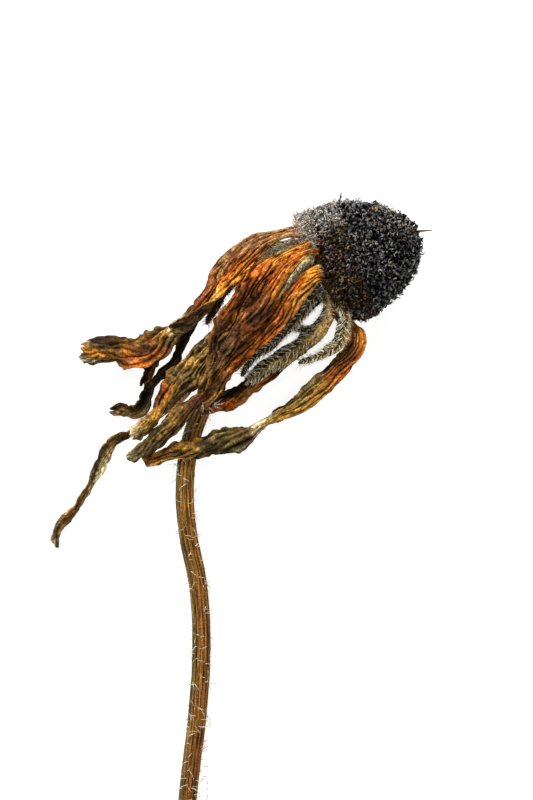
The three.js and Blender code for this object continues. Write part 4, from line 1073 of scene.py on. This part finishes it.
def cone_piece(material, rng):
    """The dark cone: a rough core packed with dry florets"""
    skin = Skin()
    add_core(skin)
    count = CONE_FLORETS
    along, roots, normal = cone_spots(count, CORE_INSET)
    lump = rough_noise(roots / CONE_LUMP, CONE_SEED)
    ways = unit(normal + 0.45 * rng.normal(size=(count, 3)))
    lengths = 1.35 + 0.45 * lump + rng.uniform(-0.18, 0.18, count)
    widths = rng.uniform(0.5, 0.8, count)
    roots = roots + rng.normal(size=(count, 3)) * 0.14
    low = smooth_step(3.5, 0.5, along)
    heads = CHARCOAL * rng.uniform(0.1, 0.7, count)[:, None]
    # Painted shade: near-black shafts in the gaps between florets; the brown low on the cone is their own
    # tone
    shafts = mix(SOOT * 0.2, UMBER * 0.6, (low * rng.uniform(0, 0.7, count))[:, None])
    # Painted highlight: the bright grey of the lit side of each rim
    lit_rims = ASH * (2.6 * rng.uniform(0.1, 1, count) ** 1.7)[:, None]
    lit_rims = mix(lit_rims, FAWN * 0.7, (low * (rng.random(count) < 0.3) * 0.8)[:, None])
    add_florets(skin, roots - ways * 0.3, ways, lengths, widths, shafts, heads, lit_rims, rng)
    skin.piece("cone_florets", material, ["floret_cone"])


def curls_piece(material, rng):
    """Small dry curls that lie on the cone among the florets' mouths, from black to grey, the pale grey
    partly their own and partly painted highlight
    """
    skin = Skin()
    count = CONE_CURLS
    along, places, normal = cone_spots(count, CURL_INSET)
    lump = rough_noise(places / CONE_LUMP, CONE_SEED)
    places = places + normal * (0.35 * lump + rng.uniform(-0.35, 0.1, count))[:, None]
    places = places + rng.normal(size=(count, 3)) * 0.15
    side, face = across_frame(normal)
    turned = rng.uniform(0, 2 * math.pi, count)[:, None]
    ways = side * np.cos(turned) + face * np.sin(turned) + 0.3 * rng.normal(size=(count, 3))
    bends = rng.normal(size=(count, 3)) - normal * 0.8
    lengths = rng.uniform(0.7, 1.2, count)
    grey = rng.uniform(0, 1, count) ** 1.3
    low = smooth_step(3.6, 0.4, along) * (rng.random(count) < 0.5)
    # Partly the curls' own grey, partly painted highlight
    pale = mix(ASH, GREY, rng.uniform(0, 0.6, (count, 1))) * 1.9
    shade = mix(SOOT * 0.3, pale, grey[:, None])
    shade = mix(shade, mix(DARK, TAN, rng.uniform(0, 0.6, (count, 1)) ** 1.5), low[:, None] * 0.8)
    widths = rng.uniform(0.2, 0.36, count)
    add_hairs(skin, places, ways, bends, lengths, widths, shade, rng.uniform(2.0, 5.0, count), steps=5)
    skin.piece("cone_curls", material, ["floret_cone"])


def rim_spots(count, front, power, outside, inset, rng):
    """Random places round the cone's back rim: a share of the pale bulge, the place and the way out"""
    angle = rng.uniform(-0.9, 2 * math.pi - 0.9, count)
    bulge = smooth_step(1.1, 0.6, angle) * smooth_step(-0.5, -0.1, angle)
    along = mix(ramp(np.degrees(angle), RIM_BACK), front, rng.uniform(0, 1, count) ** power)
    behind = outside[0] + outside[1] * along * (1 - bulge)
    radius = np.where(along < 0, behind, cone_radius(np.maximum(along, 0), inset))
    return bulge, head_point(angle, radius, along), head_out(angle)


def add_rim_florets(skin, rng):
    """Dry florets packed over the rim, grey-white on its bulge"""
    count = RIM_FLORETS
    bulge, places, out = rim_spots(count, 2.6, 1, (9.0, 0.5), 0.75, rng)
    ways = out - HEAD_AXIS * rng.uniform(0.0, 0.8, count)[:, None] + rng.normal(size=(count, 3)) * 0.4
    ways = unit(ways)
    lengths = rng.uniform(0.9, 1.6, count)
    roots = places - ways * (lengths * 0.75)[:, None]
    heads = CHARCOAL * rng.uniform(0.1, 0.9, count)[:, None]
    heads = mix(heads, ASH * rng.uniform(0.1, 1.7, count)[:, None], bulge[:, None])
    # Painted highlight: the bright colour of the lit side of each rim, paler still on the bulge
    lit_rims = mix(ASH, FAWN, rng.uniform(0, 0.8, (count, 1)))
    lit_rims = lit_rims * (1.9 * rng.uniform(0.1, 1, count) ** 1.6)[:, None]
    pale = mix(ASH, CREAM, 0.15) * (5.0 * rng.uniform(0.2, 1, count) ** 1.5)[:, None]
    lit_rims = mix(lit_rims, pale, bulge[:, None])
    shafts = mix(DARK, FAWN, np.maximum(rng.uniform(0, 0.6, count), 0.9 * bulge)[:, None])
    widths = rng.uniform(0.4, 0.75, count)
    add_florets(skin, roots, ways, lengths, widths, shafts, heads, lit_rims, rng)


def add_rim_stalks(skin, rng):
    """Stalks and scales among the florets of the rim, most of them brown"""
    count = RIM_STALKS
    bulge, places, out = rim_spots(count, 3.0, 1.3, (8.9, 0.4), 0.7, rng)
    ways = -HEAD_AXIS * rng.uniform(-0.2, 0.8, count)[:, None] + out * rng.uniform(0.0, 0.7, count)[:, None]
    ways = ways + rng.normal(size=(count, 3)) * 0.4
    bends = rng.normal(size=(count, 3))
    shade = mix(DARK, TAN * 0.8, (rng.uniform(0, 1, count) ** 2.6)[:, None])
    shade = mix(shade, mix(TAN, HAIR, rng.uniform(0.2, 1, (count, 1))), (bulge * 0.85)[:, None])
    lengths = rng.uniform(0.5, 1.2, count) + 0.4 * bulge
    widths = rng.uniform(0.14, 0.3, count)
    add_hairs(skin, places, ways, bends, lengths, widths, shade, rng.uniform(0.3, 1.8, count))


def add_bulge_hairs(skin, rng):
    """Pale hairs that stand out behind the rim where it bulges"""
    count = BULGE_HAIRS
    angle = rng.uniform(-0.2, 1.15, count)
    along = rng.uniform(-4.6, -1.5, count)
    places = head_point(angle, rng.uniform(7.4, 8.8, count), along)
    ways = head_out(angle) * rng.uniform(0.1, 0.9, count)[:, None]
    ways = ways - HEAD_AXIS * rng.uniform(0.0, 0.8, count)[:, None]
    ways = ways + rng.normal(size=(count, 3)) * 0.3
    shade = mix(FAWN, HAIR, rng.uniform(0.2, 1, (count, 1))) * rng.uniform(0.6, 1.1, (count, 1))
    bends = rng.normal(size=(count, 3))
    lengths = rng.uniform(0.8, 1.8, count)
    widths = rng.uniform(0.12, 0.2, count)
    add_hairs(skin, places, ways, bends, lengths, widths, shade, rng.uniform(0.3, 1.5, count))


def chaff_piece(material, rng):
    """Tufts of dry florets with their stalks and scales, packed over the cone's back rim"""
    skin = Skin()
    add_rim_florets(skin, rng)
    add_rim_stalks(skin, rng)
    add_bulge_hairs(skin, rng)
    skin.piece("cone_chaff", material, ["floret_cone"])


def flake_height(x, y):
    """How high a flake lies on the cone over a point of the ground"""
    heights = np.linspace(22, 6, 400)
    spots = np.stack(np.broadcast_arrays(x, y, heights), axis=-1) - HEAD_BASE
    along = spots @ HEAD_AXIS
    away = np.linalg.norm(spots - along[:, None] * HEAD_AXIS, axis=1)
    inside = (away < cone_radius(along, 0.3)) & (along > 0)
    return heights[np.argmax(inside)] if inside.any() else FLAKE_REST


def whiskers_piece(material, rng):
    """Two stray stiff stalks and a few papery flakes caught on the cone"""
    skin = Skin()
    starts, ends, widths, shades = [np.array(column) for column in zip(*WHISKERS)]
    ways = ends - starts
    lengths = np.linalg.norm(ways, axis=1)
    add_hairs(skin, starts, ways, np.broadcast_to(UP, ways.shape), lengths, widths, shades, 0.4)
    shape = (FLAKE_PARTS, 3)
    for (x, y), colour in FLAKES:
        places = np.array([x, y, flake_height(x, y)]) + rng.normal(size=shape) * np.array([0.5, 0.35, 0.2])
        shades = mix(colour, CREAM, 0.2) * rng.uniform(0.3, 0.9, FLAKE_PARTS)[:, None]
        ways = rng.normal(size=shape)
        bends = rng.normal(size=shape)
        lengths = rng.uniform(0.4, 0.8, FLAKE_PARTS)
        turn = rng.uniform(0.5, 2.5, FLAKE_PARTS)
        add_hairs(skin, places, ways, bends, lengths, FLAKE_WIDTH, shades, turn)
    skin.piece("cone_whiskers", material, ["floret_cone"])


def node(tree, kind, **values):
    """A shader node with its settings and the values of its own sockets"""
    made = tree.nodes.new(kind)
    for key, value in values.items():
        if key in made.inputs:
            made.inputs[key].default_value = value
        else:
            setattr(made, key, value)
    return made


def noise_node(tree, grain, scale, detail, warp=0.0):
    """Noise over the grain of the piece, stretched by a scale along each of its directions"""
    stretch = node(tree, "ShaderNodeMapping", Scale=scale)
    texture = node(tree, "ShaderNodeTexNoise", Scale=1.0, Detail=detail, Roughness=0.6, Distortion=warp)
    tree.links.new(grain, stretch.inputs["Vector"])
    tree.links.new(stretch.outputs["Vector"], texture.inputs["Vector"])
    return texture.outputs["Fac"]


def level_node(tree, value, start, end, low, high):
    """A value from start to end as a number from low to high"""
    level = node(tree, "ShaderNodeMapRange")
    for key, number in (("From Min", start), ("From Max", end), ("To Min", low), ("To Max", high)):
        level.inputs[key].default_value = number
    tree.links.new(value, level.inputs["Value"])
    return level.outputs["Result"]


def maths_node(tree, operation, first, second):
    """A sum, product or other operation on two values, the second of which may be a number"""
    made = node(tree, "ShaderNodeMath", operation=operation)
    tree.links.new(first, made.inputs[0])
    if isinstance(second, float):
        made.inputs[1].default_value = second
    else:
        tree.links.new(second, made.inputs[1])
    return made.outputs["Value"]


def away_node(tree, value, middle):
    """How far a value is from a middle one"""
    return maths_node(tree, "ABSOLUTE", maths_node(tree, "SUBTRACT", value, middle), 0.0)


def dry_material(name):
    """A dry surface: the piece's own tint, broken up by fibres and specks, darkened along its creases by
    painted shade, lightened beside them by painted highlight lines, and with relief
    """
    roughness, specular, crease, fibre, bump, pale = MATERIALS[name]
    material = bpy.data.materials.new(name)
    material.use_nodes = True
    tree = material.node_tree
    links = tree.links
    shader = tree.nodes["Principled BSDF"]
    shader.inputs["Specular IOR Level"].default_value = specular
    tint = node(tree, "ShaderNodeAttribute", attribute_name="tint")
    grain = node(tree, "ShaderNodeAttribute", attribute_name="grain").outputs["Vector"]
    folds = noise_node(tree, grain, crease, 3.0, 0.7)
    broad = noise_node(tree, grain, tuple(0.35 * number for number in crease), 1.0)
    fibres = noise_node(tree, grain, fibre, 4.0)
    specks = noise_node(tree, grain, SPECK_SCALE, 2.0)
    # Painted shade: dark lines along the creases, faded in broad patches
    lines = level_node(tree, away_node(tree, folds, 0.5), 0.0, 0.06, 0.0, 1.0)
    faded = level_node(tree, broad, 0.4, 0.6, 0.15, 1.0)
    dark = maths_node(tree, "MULTIPLY", level_node(tree, lines, 0.0, 1.0, 1.0, 0.0), faded)
    shade = level_node(tree, dark, 0.0, 1.0, 1.05, 0.5)
    for part in (
        level_node(tree, fibres, 0.3, 0.7, 0.6, 1.45),
        level_node(tree, specks, 0.3, 0.7, 0.42, 1.7),
        # Painted highlight: paler lines beside the creases
        level_node(tree, away_node(tree, folds, 0.6), 0.0, 0.025, pale, 1.0),
    ):
        shade = maths_node(tree, "MULTIPLY", shade, part)
    colour = node(tree, "ShaderNodeMix", data_type="RGBA", blend_type="MULTIPLY")
    colour.inputs[0].default_value = 1.0
    links.new(tint.outputs["Color"], colour.inputs[6])
    links.new(shade, colour.inputs[7])
    links.new(colour.outputs[2], shader.inputs["Base Color"])
    rough = level_node(tree, fibres, 0.3, 0.7, roughness - 0.15, roughness + 0.15)
    links.new(rough, shader.inputs["Roughness"])
    height = maths_node(tree, "ADD", maths_node(tree, "MULTIPLY", lines, 0.6), fibres)
    relief = node(tree, "ShaderNodeBump", Strength=0.9, Distance=bump * MM)
    links.new(height, relief.inputs["Height"])
    links.new(relief.outputs["Normal"], shader.inputs["Normal"])
    return material


def make_floor():
    """A pale glowing surface under the object, like a light table"""
    mesh = bpy.data.meshes.new("floor")
    corners = [(x * FLOOR_REACH, y * FLOOR_REACH, 0) for x, y in ((-1, -1), (1, -1), (1, 1), (-1, 1))]
    mesh.from_pydata(corners, [], [(0, 1, 2, 3)])
    floor = add_object("floor", mesh)
    material = bpy.data.materials.new("floor")
    material.use_nodes = True
    shader = material.node_tree.nodes["Principled BSDF"]
    shader.inputs["Base Color"].default_value = (FLOOR_TONE, FLOOR_TONE, FLOOR_TONE, 1)
    shader.inputs["Roughness"].default_value = 0.9
    shader.inputs["Specular IOR Level"].default_value = 0.0
    shader.inputs["Emission Color"].default_value = (1, 1, 1, 1)
    shader.inputs["Emission Strength"].default_value = FLOOR_GLOW
    mesh.materials.append(material)
    floor.location.z = -FLOOR_DROP * MM


def make_light(name, place, size, power):
    """A square soft light that looks at the object"""
    data = bpy.data.lights.new(name, "AREA")
    data.size = size
    data.energy = power
    light = add_object(name, data)
    light.location = place
    way = np.array([VIEW_CENTRE[0] * MM, VIEW_CENTRE[1] * MM, 0]) - np.array(place)
    pitch = math.acos(-way[2] / np.linalg.norm(way))
    light.rotation_euler = (pitch, 0, math.atan2(-way[0], way[1]))
    light.visible_camera = False


def make_studio():
    """White surroundings, one soft key light from the upper left and a weak fill from the lower right"""
    scene = bpy.context.scene
    world = bpy.data.worlds.new("studio")
    world.use_nodes = True
    background = world.node_tree.nodes["Background"]
    background.inputs["Color"].default_value = (1, 1, 1, 1)
    background.inputs["Strength"].default_value = WORLD_STRENGTH
    scene.world = world
    make_light("key", *KEY_LIGHT)
    make_light("fill", *FILL_LIGHT)
    scene.view_settings.view_transform = "Standard"
    scene.view_settings.look = "None"


def make_camera():
    """The camera looks straight down on the object"""
    data = bpy.data.cameras.new("camera")
    data.lens = LENS
    data.sensor_width = SENSOR
    data.clip_end = 20
    camera = add_object("camera", data)
    height = VIEW_PLANE + VIEW_HEIGHT * LENS / SENSOR
    camera.location = (VIEW_CENTRE[0] * MM, VIEW_CENTRE[1] * MM, height * MM)
    bpy.context.scene.camera = camera


def build():
    """Every piece of the object"""
    rng = np.random.default_rng(RANDOM_SEED)
    petals, bracts, stem, florets, hairs = [dry_material(name) for name in MATERIALS]
    for order, (name, entry) in enumerate(RAYS.items()):
        petal_piece(name, entry, order, petals)
    for order, (name, entry) in enumerate(BRACTS.items()):
        bract_piece(name, entry, order, bracts, hairs, rng)
    stem_piece(stem)
    stem_bristles_piece(hairs, rng)
    cone_piece(florets, rng)
    curls_piece(florets, rng)
    chaff_piece(florets, rng)
    whiskers_piece(florets, rng)


make_camera()
make_studio()
make_floor()
build()
